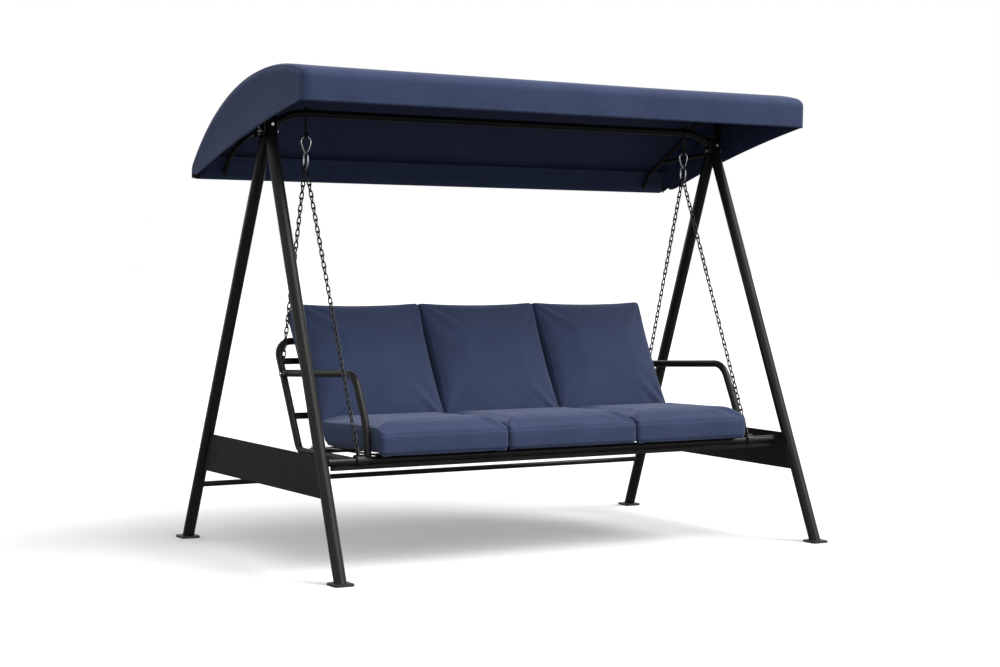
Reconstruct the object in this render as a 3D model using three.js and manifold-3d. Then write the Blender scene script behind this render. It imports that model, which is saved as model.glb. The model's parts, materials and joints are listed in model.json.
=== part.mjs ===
// A three-seat canopy porch swing: an A-frame stand, a seat hung on chains and a tilting fabric canopy.
// Millimetres. +X runs along the seat to a viewer's right, +Y to the back, +Z up. The origin is on the
// floor, midway between the four feet. Left and right are the viewer's, seen from the front.
import * as THREE from 'three';
import { mergeVertices } from 'three/addons/utils/BufferGeometryUtils.js';
import Module from 'manifold-3d';

const wasm = await Module();
wasm.setup();

// ---------------------------------------------------------------------------------------------
// Driving dimensions
// ---------------------------------------------------------------------------------------------
const GAP = 0.3; // left between pieces that touch
const SIDES = { left: -1, right: 1 };
const ENDS = { front: -1, rear: 1 };

const OVERLAP = 1; // shared by pieces that are joined into one solid
const BOLT_SIDES = 12;

// Stand
const APEX_SPAN_X = 1953; // the width that everything across follows
const APEX_Z = 1500; // where the two leg centre lines cross: the height that the top follows
const APEX_Y = 34;
const FOOT_SPAN_X = APEX_SPAN_X + 72;
const FOOT_SPAN_Y = 1164;
const LEG_RADIUS = 21;
const LEG_TOP_ABOVE_APEX = 26;
const PAD_SIZE = 70;
const PAD_THICKNESS = 8;
const PAD_CORNER_RADIUS = 10;
const PANEL_BOTTOM_Z = 262;
const PANEL_TOP_Z = 397;
const PANEL_THICKNESS = 5;
const CROSSBAR_Z = 204;
const CROSSBAR_RADIUS = 10;

// Top rail
const RAIL_Z = APEX_Z + 41;
const RAIL_RADIUS = 14;
const RAIL_BEND_REACH = 114.6; // from where each end starts to bend down to its tab's outer face
const RAIL_BEND_RADIUS = 178;
const RAIL_BEND_ANGLE = THREE.MathUtils.degToRad(38);
const TAB_WIDTH = 36;
const TAB_THICKNESS = 5;

// Fixings at the leg tops
const TILT_Z = APEX_Z - 26; // the axis that the canopy tilts on
const TILT_BOLT_RADIUS = 4;
const TILT_BOLT_REACH = 6; // past the wing nut
const TILT_NUT_RADIUS = 9;
const TILT_NUT_LENGTH = 7;
const WING_HUB_RADIUS = 8;
const WING_HUB_LENGTH = 10;
const WING_SPAN = 36;
const WING_RADIUS = 4;
const CROSS_BOLT_Z = APEX_Z - 3;
const CROSS_BOLT_RADIUS = 3;
const CROSS_BOLT_HEAD_RADIUS = 6.5;
const CROSS_BOLT_HEAD_LENGTH = 5;
const CROSS_BOLT_SPARE = 3; // between a leg's round face and the bolt's head or nut

// Hangers
const HANGER_X = APEX_SPAN_X / 2 - 144.5;
const EYE_RING_RADIUS = 10;
const EYE_WIRE_RADIUS = 4;
const EYE_Z = RAIL_Z - 75;
const EYE_SHANK_RADIUS = 5;
const EYE_NUT_RADIUS = 9;
const EYE_NUT_LENGTH = 7;
const RING_WIRE_RADIUS = 3;
const RING_LENGTH = 61;
const RING_HALF_WIDTH = 18;
const RING_WAIST_HALF_WIDTH = 13;
const RING_PLAY = 1.6; // between the ring's wire and the link's, and the link's and the chains' ends
const LINK_LENGTH = 62;
const LINK_HALF_WIDTH = 13;
const CHAIN_RADIUS = 5;
const CHAIN_TOP_SPREAD = 8; // each chain's top, in front of or behind the hanger

// Seat frame
const SEAT_RAIL_Y = -385;
const SEAT_RAIL_Z = 373;
const SEAT_RAIL_RADIUS = 14;
const SEAT_RAIL_HALF_LENGTH = APEX_SPAN_X / 2 - 16.5;
const STIFFENER_SIZE = 14;
const STIFFENER_HALF_LENGTH = SEAT_RAIL_HALF_LENGTH - 15;
const SEAT_TUBE_RADIUS = 13;
const SIDE_X = HANGER_X - 32; // centre plane of a side rail, its back post and its armrest
const SIDE_RAIL_Z = 360;
const SIDE_RAIL_BEND_RADIUS = 45;
const BACK_FOOT_Y = 115; // where the side rail and the back post would cross
const BACK_FOOT_Z = 357;
const BACK_LEAN = THREE.MathUtils.degToRad(26.85);
const BACK_HEIGHT = 422; // along the lean, from that corner to the back's top rail
const BACK_CORNER_RADIUS = 60;
const SPLICE_HEIGHT = 82; // along the lean, where the side rail's tube ends and the back frame's starts
const REAR_RAIL_Y = 60;
const REAR_RAIL_RADIUS = 11;
const SEAT_SLOPE = THREE.MathUtils.degToRad(2);
const DECK_BAR = 4; // thickness of the deck's flat bars
const DECK_BAR_WIDTH = 24;
const DECK_BAR_COUNT = 13;
const SEAT_STRIPS = [0.12, 0.5, 0.88]; // where cross strips lie, as shares of a deck's length
const BACK_STRIPS = [0.15, 0.8];

// Armrests: each runs from a post, forward and level, then down to the front rail in two bends
const ARM_ABOVE_BACK = 62; // how far the arm's rear end stands over the back's lean line
const ARM_TOP = { y: -275, z: 656 };
const ARM_KNEE = { y: -356, z: 495 };
const ARM_FOOT = { y: SEAT_RAIL_Y + 11, z: SEAT_RAIL_Z + 7 };
const ARM_BEND_RADII = [75, 150];

// Chain fittings on the seat
const CLAMP_X = HANGER_X + 8;
const CLAMP_WIDTH = 30;
const CLAMP_RADIUS = SEAT_RAIL_RADIUS + 7.5;
const EAR_REACH = CLAMP_RADIUS + 10; // from the rail's centre to the ear's hole
const EAR_RADIUS = 9;
const EAR_HOLE_RADIUS = 4.5;
const EAR_THICKNESS = 5;
const STUD_Y = 218;
const STUD_RADIUS = 3;
const STUD_HEAD_RADIUS = 8;
const STUD_HEAD_THICKNESS = 3;
const REAR_CHAIN_X = SIDE_X + SEAT_TUBE_RADIUS + 9;
const CHAIN_CLEARANCE = 4; // between a chain's lower end and the fitting it hangs on

// Cushions
const SEAT_CUSHION_HALF_ROW = SIDE_X - SEAT_TUBE_RADIUS - 1;
const SEAT_JOINT_SHARE = 0.351; // of the half row: the middle cushion is the widest
const SEAT_CUSHION_ENDS = [-1, -SEAT_JOINT_SHARE, SEAT_JOINT_SHARE, 1].map(
  (share) => share * SEAT_CUSHION_HALF_ROW,
);
const SEAT_CUSHION_FRONT_Y = -443;
const SEAT_CUSHION_DEPTH = 426;
const SEAT_CUSHION_HEIGHT = 90;
const SEAT_CUSHION_CROWN = 20;
const BACK_CUSHION_ENDS = [-3, -1, 1, 3].map((share) => (share / 3) * (SIDE_X - 32));
const BACK_CUSHION_HEIGHT = 480;
const BACK_CUSHION_LIFT = 26; // along the lean, from the back's foot to the cushion's bottom
const BACK_CUSHION_THICKNESS = 128;
const BACK_CUSHION_CROWN = 16;
const CUSHION_SPACING = 3;

// Canopy
const UPRIGHT_WIDTH = 40;
const UPRIGHT_THICKNESS = 5;
const UPRIGHT_SPARE = 1.4; // between a leg's outer face and the upright that turns beside it
const UPRIGHT_FOOT_REACH = 48; // back from the tilt bolt, to carry the brace
const UPRIGHT_TOP_Z = APEX_Z + 145;
const COVER_OVERHANG = 75.5; // past the uprights' inner faces
const COVER_THICKNESS = 3;
const COVER_FRONT_Y = -402;
const COVER_REAR_Y = 466;
const ROOF_RADIUS = 830;
const ROOF_CENTRE = { y: -195, z: APEX_Z - 643 };
const VALANCE_BOTTOM_Z = APEX_Z + 55;
const FLAP_BOTTOM_Z = APEX_Z - 186;
const HEEL_LENGTH = 36; // of the end panel's lower edge, level at the rear
const END_PANEL_RISE = 16; // how far the end panel's lower edge bows up from straight
const CANOPY_TUBE_RADIUS = 9;
const RIB_INSET = 51.5; // from the uprights' inner faces in to the ribs
const RIB_CROWN_Z = APEX_Z + 122;
const RIDGE_BAR_LIFT = 14; // over the corner that the ribs' bends round off
const RIB_BEND = { y: COVER_REAR_Y - 62, z: APEX_Z - 114 };
const RIB_BEND_RADII = [150, 60];
const BRACE_RADIUS = 8;
const BRACE_SHARE = 0.8; // of the way down the rib's slope, where the brace meets it
const FRONT_BAR_Z = APEX_Z + 141;
const BAR_INSET = 17; // from the cover's front or rear face to the bar inside it
const BAR_END_GAP = 9; // from the cover's end to the ends of its front and rear bars
const REAR_BAR_RADIUS = 6;
const REAR_BAR_LIFT = 14; // over the flap's lower edge
const RIB_CAP_RADIUS = 10;
const RIB_CAP_REACH = 8; // past the rear bar, which runs through the caps

// ---------------------------------------------------------------------------------------------
// Finishes
// ---------------------------------------------------------------------------------------------
const FINISHES = {
  frame: { color: 0x2b2b2b, roughness: 0.55, metalness: 0.3 },
  panel: { color: 0x262626, roughness: 0.65, metalness: 0.2 },
  plated: { color: 0xb8babd, roughness: 0.3, metalness: 0.9 },
  chain: { color: 0x17181a, roughness: 0.4, metalness: 0.7 },
  plastic: { color: 0x1d1d1e, roughness: 0.6, metalness: 0 },
  cushion: { color: 0x27375a, roughness: 0.9, metalness: 0 },
  canopy: { color: 0x2a3858, roughness: 0.85, metalness: 0 },
};

const swing = new THREE.Group();
swing.name = 'canopy_porch_swing';

function add(name, geometry, finish) {
  const mesh = new THREE.Mesh(geometry, new THREE.MeshStandardMaterial(FINISHES[finish]));
  mesh.name = name;
  swing.add(mesh);
}

// ---------------------------------------------------------------------------------------------
// Geometry helpers
// ---------------------------------------------------------------------------------------------
function toManifold(geometry) {
  const bare = geometry.clone();
  bare.deleteAttribute('normal');
  bare.deleteAttribute('uv');
  const merged = mergeVertices(bare, 1e-4);
  return new wasm.Manifold(
    new wasm.Mesh({
      numProp: 3,
      vertProperties: new Float32Array(merged.attributes.position.array),
      triVerts: new Uint32Array(merged.index.array),
    }),
  );
}

function toGeometry(manifold) {
  const { numProp, vertProperties, triVerts } = manifold.getMesh();
  const positions = new Float32Array((vertProperties.length / numProp) * 3);
  for (let i = 0; i < positions.length / 3; i += 1) {
    positions.set(vertProperties.subarray(i * numProp, i * numProp + 3), i * 3);
  }
  const geometry = new THREE.BufferGeometry();
  geometry.setAttribute('position', new THREE.BufferAttribute(positions, 3));
  geometry.setIndex(new THREE.BufferAttribute(new Uint32Array(triVerts), 1));
  geometry.computeVertexNormals();
  return geometry;
}

const combine = (first, others, operation) =>
  toGeometry(others.reduce((solid, other) => solid[operation](toManifold(other)), toManifold(first)));
const union = (first, ...others) => combine(first, others, 'add');
const subtract = (first, ...others) => combine(first, others, 'subtract');
const intersect = (first, ...others) => combine(first, others, 'intersect');

const vector = (x, y, z) => new THREE.Vector3(x, y, z);

// A round bar from one point to another.
function bar(from, to, radius, sides = 20) {
  const along = to.clone().sub(from);
  const geometry = new THREE.CylinderGeometry(radius, radius, along.length(), sides);
  const turn = new THREE.Quaternion().setFromUnitVectors(vector(0, 1, 0), along.normalize());
  const middle = from.clone().add(to).multiplyScalar(0.5);
  return geometry.applyQuaternion(turn).translate(middle.x, middle.y, middle.z);
}

// A box between two opposite corners.
function block(low, high) {
  const size = high.clone().sub(low);
  const middle = low.clone().add(high).multiplyScalar(0.5);
  return new THREE.BoxGeometry(size.x, size.y, size.z).translate(middle.x, middle.y, middle.z);
}

// A path of straight stretches with its corners rounded off. Each straight is one step of the curve's
// parameter and each corner is several, so a tube along it has rings only where it bends.
class RoundedPath extends THREE.Curve {
  constructor(corners, radii, stepAngle = THREE.MathUtils.degToRad(11)) {
    super();
    this.pieces = [];
    let from = corners[0];
    for (let i = 1; i < corners.length - 1; i += 1) {
      const before = corners[i].clone().sub(corners[i - 1]).normalize();
      const after = corners[i + 1].clone().sub(corners[i]).normalize();
      const angle = before.angleTo(after);
      const setback = radii[i - 1] * Math.tan(angle / 2);
      const start = corners[i].clone().addScaledVector(before, -setback);
      const inward = after.clone().addScaledVector(before, -after.dot(before)).normalize();
      const centre = start.clone().addScaledVector(inward, radii[i - 1]);
      const steps = Math.max(2, Math.ceil(angle / stepAngle));
      this.addStraight(from, start);
      this.addPiece(steps, (t) =>
        centre
          .clone()
          .addScaledVector(inward, -radii[i - 1] * Math.cos(t * angle))
          .addScaledVector(before, radii[i - 1] * Math.sin(t * angle)),
      );
      from = corners[i].clone().addScaledVector(after, setback);
    }
    this.addStraight(from, corners[corners.length - 1]);
    this.steps = this.pieces.reduce((sum, piece) => sum + piece.steps, 0);
  }

  addPiece(steps, at) {
    this.pieces.push({ steps, at });
  }

  addStraight(from, to) {
    this.addPiece(1, (t) => from.clone().lerp(to, t));
  }

  getPoint(t, target = new THREE.Vector3()) {
    let left = t * this.steps;
    const last = this.pieces.length - 1;
    const index = this.pieces.findIndex((piece, i) => {
      if (left <= piece.steps || i === last) return true;
      left -= piece.steps;
      return false;
    });
    const piece = this.pieces[index];
    return target.copy(piece.at(Math.min(left / piece.steps, 1)));
  }

  getUtoTmapping(u) {
    return u;
  }
}

function circle(radius, sides) {
  const points = [];
  for (let i = 0; i < sides; i += 1) {
    const angle = (i / sides) * 2 * Math.PI;
    points.push(new THREE.Vector2(radius * Math.cos(angle), radius * Math.sin(angle)));
  }
  return points;
}

// A round tube bent through corners.
function bentTube(corners, radii, radius, sides = 16) {
  const path = new RoundedPath(corners, radii);
  return new THREE.ExtrudeGeometry(new THREE.Shape(circle(radius, sides)), {
    steps: path.steps,
    extrudePath: path,
    bevelEnabled: false,
  });
}

// A closed loop of round wire through points.
function wireLoop(points, radius, steps = 32, sides = 8) {
  const curve = new THREE.CatmullRomCurve3(points, true);
  return new THREE.TubeGeometry(curve, steps, radius, sides, true);
}

// Takes a shape drawn in (y, z) and gives it thickness from one x to another.
function plateAcrossX(shape, fromX, toX, curveSegments = 12) {
  const low = Math.min(fromX, toX);
  const depth = Math.abs(toX - fromX);
  const geometry = new THREE.ExtrudeGeometry(shape, { depth, bevelEnabled: false, curveSegments });
  const axes = new THREE.Matrix4().makeBasis(vector(0, 1, 0), vector(0, 0, 1), vector(1, 0, 0));
  return geometry.applyMatrix4(axes).translate(low, 0, 0);
}

function roundedRectangle(x0, y0, x1, y1, radius) {
  const shape = new THREE.Shape();
  shape.moveTo(x0 + radius, y0);
  shape.lineTo(x1 - radius, y0);
  shape.absarc(x1 - radius, y0 + radius, radius, -Math.PI / 2, 0);
  shape.absarc(x1 - radius, y1 - radius, radius, 0, Math.PI / 2);
  shape.absarc(x0 + radius, y1 - radius, radius, Math.PI / 2, Math.PI);
  shape.absarc(x0 + radius, y0 + radius, radius, Math.PI, 1.5 * Math.PI);
  return shape;
}

// A box cushion about the origin, its edges rounded and its +Z face crowned.
function cushion(width, depth, height, crown) {
  const geometry = new THREE.BoxGeometry(2, 2, 2, 8, 8, 4);
  const half = vector(width / 2, depth / 2, height / 2);
  const edge = 0.3 * height;
  const position = geometry.attributes.position;
  const point = new THREE.Vector3();
  for (let i = 0; i < position.count; i += 1) {
    point.fromBufferAttribute(position, i);
    const spread = vector(...point.toArray().map((v) => Math.sin((v * Math.PI) / 2)));
    const outer = spread.multiply(half);
    const inner = outer.clone().clamp(
      half.clone().negate().addScalar(edge),
      half.clone().subScalar(edge),
    );
    const out = outer.clone().sub(inner);
    point.copy(inner).addScaledVector(out.normalize(), edge);
    const middle = (1 - (point.x / half.x) ** 2) * (1 - (point.y / half.y) ** 2);
    const above = Math.max(0, point.z / half.z);
    point.z += crown * middle * above;
    position.setXYZ(i, point.x, point.y, point.z);
  }
  geometry.deleteAttribute('normal');
  geometry.deleteAttribute('uv');
  const merged = mergeVertices(geometry, 1e-3);
  merged.computeVertexNormals();
  return merged;
}

// ---------------------------------------------------------------------------------------------
// Stand
// ---------------------------------------------------------------------------------------------
const LEG_TOP_Z = APEX_Z + LEG_TOP_ABOVE_APEX;

// A point on a leg's centre line at a height. The A-frames lean in towards each other.
function legPoint(side, end, z) {
  const rise = z / APEX_Z;
  const footX = FOOT_SPAN_X / 2;
  const footY = end * (FOOT_SPAN_Y / 2);
  return vector(side * (footX + (APEX_SPAN_X / 2 - footX) * rise), footY + (APEX_Y - footY) * rise, z);
}

const apexX = legPoint(1, 1, CROSS_BOLT_Z).x;

// The two legs of an A-frame meet on a mitre at the apex's plane.
function leg(side, end) {
  const margin = 60;
  const tube = bar(legPoint(side, end, -margin), legPoint(side, end, LEG_TOP_Z + margin), LEG_RADIUS, 24);
  const mitreY = APEX_Y + (end * GAP) / 2;
  const farY = end * FOOT_SPAN_Y;
  const keep = block(
    vector(-FOOT_SPAN_X, Math.min(mitreY, farY), PAD_THICKNESS + GAP),
    vector(FOOT_SPAN_X, Math.max(mitreY, farY), LEG_TOP_Z),
  );
  const tiltHole = bar(
    vector(side * FOOT_SPAN_X, APEX_Y, TILT_Z),
    vector(0, APEX_Y, TILT_Z),
    TILT_BOLT_RADIUS + GAP,
    BOLT_SIDES,
  );
  const crossHole = bar(
    vector(side * apexX, -farY, CROSS_BOLT_Z),
    vector(side * apexX, farY, CROSS_BOLT_Z),
    CROSS_BOLT_RADIUS + GAP,
    BOLT_SIDES,
  );
  return subtract(intersect(tube, keep), tiltHole, crossHole);
}

function footPad(side, end) {
  const foot = legPoint(side, end, 0);
  const half = PAD_SIZE / 2;
  const shape = roundedRectangle(
    foot.x - half,
    foot.y - half,
    foot.x + half,
    foot.y + half,
    PAD_CORNER_RADIUS,
  );
  return new THREE.ExtrudeGeometry(shape, { depth: PAD_THICKNESS, bevelEnabled: false, curveSegments: 4 });
}

// A flat plate in the plane of an A-frame, trimmed to fit between its legs.
function sidePanel(side) {
  const corners = [
    legPoint(side, ENDS.front, PANEL_BOTTOM_Z),
    legPoint(side, ENDS.rear, PANEL_BOTTOM_Z),
    legPoint(side, ENDS.rear, PANEL_TOP_Z),
    legPoint(side, ENDS.front, PANEL_TOP_Z),
  ];
  const shape = new THREE.Shape(corners.map((corner) => new THREE.Vector2(corner.y, corner.z)));
  const plate = plateAcrossX(shape, -PANEL_THICKNESS / 2, PANEL_THICKNESS / 2);
  const lean = (APEX_SPAN_X - FOOT_SPAN_X) / 2 / APEX_Z;
  const shear = new THREE.Matrix4().makeShear(0, 0, 0, 0, side * lean, 0);
  shear.setPosition((side * FOOT_SPAN_X) / 2, 0, 0);
  const legs = Object.values(ENDS).map((end) =>
    bar(legPoint(side, end, 0), legPoint(side, end, APEX_Z), LEG_RADIUS + GAP, 24),
  );
  return subtract(plate.applyMatrix4(shear), ...legs);
}

function rearCrossbar() {
  const left = legPoint(SIDES.left, ENDS.rear, CROSSBAR_Z);
  const right = legPoint(SIDES.right, ENDS.rear, CROSSBAR_Z);
  const legs = Object.values(SIDES).map((side) =>
    bar(legPoint(side, ENDS.rear, 0), legPoint(side, ENDS.rear, APEX_Z), LEG_RADIUS + GAP, 24),
  );
  return subtract(bar(left, right, CROSSBAR_RADIUS, 16), ...legs);
}

// The rail's ends bend down to upright tabs that bear on the insides of the leg tops.
const tabOuterX = legPoint(1, 1, LEG_TOP_Z).x - LEG_RADIUS - GAP;
const tabInnerX = tabOuterX - TAB_THICKNESS;

function topRail() {
  const bendWidth = RAIL_BEND_RADIUS * Math.tan(RAIL_BEND_ANGLE / 2);
  const cornerX = tabOuterX - RAIL_BEND_REACH + bendWidth;
  const endX = tabOuterX - TAB_THICKNESS / 2;
  const endZ = RAIL_Z - (endX - cornerX) * Math.tan(RAIL_BEND_ANGLE);
  const corners = [
    vector(-endX, APEX_Y, endZ),
    vector(-cornerX, APEX_Y, RAIL_Z),
    vector(cornerX, APEX_Y, RAIL_Z),
    vector(endX, APEX_Y, endZ),
  ];
  const tube = bentTube(corners, [RAIL_BEND_RADIUS, RAIL_BEND_RADIUS], RAIL_RADIUS);
  const reach = block(
    vector(-endX, -FOOT_SPAN_Y, 0),
    vector(endX, FOOT_SPAN_Y, 2 * APEX_Z),
  );
  const tabShape = roundedRectangle(
    APEX_Y - TAB_WIDTH / 2,
    TILT_Z - TAB_WIDTH / 2,
    APEX_Y + TAB_WIDTH / 2,
    endZ + RAIL_RADIUS + TAB_WIDTH / 3,
    TAB_WIDTH / 3,
  );
  const tabs = Object.values(SIDES).map((side) =>
    plateAcrossX(tabShape, side * tabInnerX, side * tabOuterX, 5),
  );
  const holes = Object.values(SIDES).flatMap((side) => [
    bar(
      vector(side * (tabInnerX - OVERLAP), APEX_Y, TILT_Z),
      vector(side * (tabOuterX + OVERLAP), APEX_Y, TILT_Z),
      TILT_BOLT_RADIUS + GAP,
      BOLT_SIDES,
    ),
    bar(
      vector(side * HANGER_X, APEX_Y, RAIL_Z - 2 * RAIL_RADIUS),
      vector(side * HANGER_X, APEX_Y, RAIL_Z + 2 * RAIL_RADIUS),
      EYE_SHANK_RADIUS + GAP,
      BOLT_SIDES,
    ),
  ]);
  return subtract(union(intersect(tube, reach), ...tabs), ...holes);
}

// ---------------------------------------------------------------------------------------------
// Fixings at the leg tops
// ---------------------------------------------------------------------------------------------
const uprightX = legPoint(1, 1, TILT_Z).x + LEG_RADIUS + UPRIGHT_SPARE;
const wingHubX = uprightX + UPRIGHT_THICKNESS + GAP;

// The canopy tilts on this bolt, from a nut inside the rail's tab to the wing nut outside.
function tiltBolt(side) {
  const nutX = tabInnerX - GAP;
  const onAxis = (x) => vector(side * x, APEX_Y, TILT_Z);
  const nut = bar(onAxis(nutX - TILT_NUT_LENGTH), onAxis(nutX), TILT_NUT_RADIUS, 6);
  const tipX = wingHubX + WING_HUB_LENGTH + TILT_BOLT_REACH;
  const shank = bar(onAxis(nutX - OVERLAP), onAxis(tipX), TILT_BOLT_RADIUS, BOLT_SIDES);
  return union(nut, shank);
}

function wingNut(side) {
  const onAxis = (x) => vector(side * x, APEX_Y, TILT_Z);
  const endX = wingHubX + WING_HUB_LENGTH;
  const hub = bar(onAxis(wingHubX), onAxis(endX), WING_HUB_RADIUS, BOLT_SIDES);
  const hole = bar(
    onAxis(wingHubX - OVERLAP),
    onAxis(endX + OVERLAP),
    TILT_BOLT_RADIUS + GAP,
    BOLT_SIDES,
  );
  const wings = [-1, 1].map((way) => {
    const root = onAxis(wingHubX + WING_HUB_LENGTH / 2);
    const tip = onAxis(endX);
    root.z += way * (WING_HUB_RADIUS - WING_RADIUS / 2);
    tip.z += way * (WING_SPAN / 2 - WING_RADIUS);
    return bar(root, tip, WING_RADIUS, 8);
  });
  return subtract(union(hub, ...wings), hole);
}

// Clamps the two legs together, front to back.
function crossBolt(side) {
  const sweep = LEG_RADIUS / Math.cos(Math.atan2(FOOT_SPAN_Y / 2 + APEX_Y, APEX_Z));
  const frontY = legPoint(side, ENDS.front, CROSS_BOLT_Z).y - sweep - CROSS_BOLT_SPARE;
  const rearY = legPoint(side, ENDS.rear, CROSS_BOLT_Z).y + sweep + CROSS_BOLT_SPARE;
  const onAxis = (y) => vector(side * apexX, y, CROSS_BOLT_Z);
  const shank = bar(onAxis(frontY - OVERLAP), onAxis(rearY + OVERLAP), CROSS_BOLT_RADIUS, 10);
  const head = bar(onAxis(frontY - CROSS_BOLT_HEAD_LENGTH), onAxis(frontY), CROSS_BOLT_HEAD_RADIUS, 6);
  const nut = bar(onAxis(rearY), onAxis(rearY + CROSS_BOLT_HEAD_LENGTH), CROSS_BOLT_HEAD_RADIUS, 6);
  return union(shank, head, nut);
}

// ---------------------------------------------------------------------------------------------
// Hangers and chains
// ---------------------------------------------------------------------------------------------
function hangerEye(side) {
  const onAxis = (z) => vector(side * HANGER_X, APEX_Y, z);
  const seatZ = RAIL_Z + RAIL_RADIUS + GAP;
  const nut = bar(onAxis(seatZ), onAxis(seatZ + EYE_NUT_LENGTH), EYE_NUT_RADIUS, 6);
  const shank = bar(onAxis(EYE_Z + EYE_RING_RADIUS), onAxis(seatZ + OVERLAP), EYE_SHANK_RADIUS, BOLT_SIDES);
  const eye = new THREE.TorusGeometry(EYE_RING_RADIUS, EYE_WIRE_RADIUS, 10, 20)
    .rotateY(Math.PI / 2)
    .translate(side * HANGER_X, APEX_Y, EYE_Z);
  return union(eye, shank, nut);
}

// The seat swings on this axis, where the pear ring's wire rests in the eye.
const SWING_Z = EYE_Z - 2;

function pearRing(side) {
  const at = (x, drop) => vector(side * HANGER_X + x, APEX_Y, SWING_Z - drop);
  const shoulder = 0.24 * RING_LENGTH;
  const waist = 0.68 * RING_LENGTH;
  const points = [
    at(0, 0),
    at(RING_HALF_WIDTH, shoulder),
    at(RING_WAIST_HALF_WIDTH, waist),
    at(0, RING_LENGTH),
    at(-RING_WAIST_HALF_WIDTH, waist),
    at(-RING_HALF_WIDTH, shoulder),
  ];
  return wireLoop(points, RING_WIRE_RADIUS);
}

const linkTopZ = SWING_Z - RING_LENGTH + 2 * RING_WIRE_RADIUS + RING_PLAY;
const linkBottomZ = linkTopZ - LINK_LENGTH;

function narrowLink(side) {
  const at = (y, z) => vector(side * HANGER_X, APEX_Y + y, z);
  const bend = 0.8 * LINK_HALF_WIDTH;
  const points = [
    at(0, linkTopZ),
    at(LINK_HALF_WIDTH, linkTopZ - bend),
    at(LINK_HALF_WIDTH, linkBottomZ + bend),
    at(0, linkBottomZ),
    at(-LINK_HALF_WIDTH, linkBottomZ + bend),
    at(-LINK_HALF_WIDTH, linkTopZ - bend),
  ];
  return wireLoop(points, RING_WIRE_RADIUS);
}

const chainTopZ = linkBottomZ - RING_WIRE_RADIUS - RING_PLAY;
const hangPoint = { y: APEX_Y, z: SWING_Z };

// Unit direction in (y, z) from a fitting on the seat up to the swing axis.
function towardsHanger(y, z) {
  return new THREE.Vector2(hangPoint.y - y, hangPoint.z - z).normalize();
}

const stud = (() => {
  const rise = (STUD_Y - BACK_FOOT_Y) / Math.tan(BACK_LEAN);
  return { y: STUD_Y, z: BACK_FOOT_Z + rise + ARM_ABOVE_BACK };
})();

function chain(side, end) {
  const front = end === ENDS.front;
  const top = vector(side * HANGER_X, APEX_Y + end * CHAIN_TOP_SPREAD, chainTopZ);
  const fitting = front ? { y: SEAT_RAIL_Y, z: SEAT_RAIL_Z } : stud;
  const clear = CHAIN_CLEARANCE + (front ? EAR_REACH + EAR_RADIUS : STUD_RADIUS);
  const up = towardsHanger(fitting.y, fitting.z);
  const x = front ? CLAMP_X : REAR_CHAIN_X;
  const bottom = vector(side * x, fitting.y + clear * up.x, fitting.z + clear * up.y);
  return bar(bottom, top, CHAIN_RADIUS, 8);
}

// A saddle over the seat's front rail, with a flat ear for the front chain.
function chainClamp(side) {
  const from = -Math.PI / 6;
  const to = Math.PI - from;
  const saddle = new THREE.Shape();
  saddle.absarc(SEAT_RAIL_Y, SEAT_RAIL_Z, CLAMP_RADIUS, from, to, false);
  saddle.absarc(SEAT_RAIL_Y, SEAT_RAIL_Z, SEAT_RAIL_RADIUS + GAP, to, from, true);
  const across = (width) => [side * CLAMP_X - width / 2, side * CLAMP_X + width / 2];
  const up = towardsHanger(SEAT_RAIL_Y, SEAT_RAIL_Z);
  const angle = up.angle();
  const root = { y: SEAT_RAIL_Y + SEAT_RAIL_RADIUS * up.x, z: SEAT_RAIL_Z + SEAT_RAIL_RADIUS * up.y };
  const hole = { y: SEAT_RAIL_Y + EAR_REACH * up.x, z: SEAT_RAIL_Z + EAR_REACH * up.y };
  const ear = new THREE.Shape();
  ear.absarc(hole.y, hole.z, EAR_RADIUS, angle - Math.PI / 2, angle + Math.PI / 2, false);
  ear.lineTo(root.y - EAR_RADIUS * up.y, root.z + EAR_RADIUS * up.x);
  ear.lineTo(root.y + EAR_RADIUS * up.y, root.z - EAR_RADIUS * up.x);
  const eye = new THREE.Shape();
  eye.absarc(hole.y, hole.z, EAR_HOLE_RADIUS, 0, 2 * Math.PI, false);
  const rail = bar(
    vector(-SEAT_RAIL_HALF_LENGTH, SEAT_RAIL_Y, SEAT_RAIL_Z),
    vector(SEAT_RAIL_HALF_LENGTH, SEAT_RAIL_Y, SEAT_RAIL_Z),
    SEAT_RAIL_RADIUS + 2 * GAP,
    24,
  );
  const plate = subtract(
    plateAcrossX(ear, ...across(EAR_THICKNESS), 8),
    rail,
    plateAcrossX(eye, ...across(CLAMP_WIDTH), 6),
  );
  return union(plateAcrossX(saddle, ...across(CLAMP_WIDTH), 10), plate);
}

// Stands out from the armrest, where it meets the back post, to carry the rear chain.
function chainStud(side) {
  const onAxis = (x) => vector(side * x, stud.y, stud.z);
  const seat = SIDE_X + SEAT_TUBE_RADIUS + GAP;
  const end = REAR_CHAIN_X + CHAIN_RADIUS + STUD_HEAD_THICKNESS + OVERLAP;
  const shank = bar(onAxis(seat), onAxis(end), STUD_RADIUS, BOLT_SIDES);
  const head = bar(onAxis(end - STUD_HEAD_THICKNESS), onAxis(end), STUD_HEAD_RADIUS, BOLT_SIDES);
  return union(shank, head);
}

// ---------------------------------------------------------------------------------------------
// Seat frame
// ---------------------------------------------------------------------------------------------
// A point in a side's plane, up the back's lean from its foot and out from it towards the front.
function backPoint(x, up, forward = 0) {
  return vector(
    x,
    BACK_FOOT_Y + up * Math.sin(BACK_LEAN) - forward * Math.cos(BACK_LEAN),
    BACK_FOOT_Z + up * Math.cos(BACK_LEAN) + forward * Math.sin(BACK_LEAN),
  );
}

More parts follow.
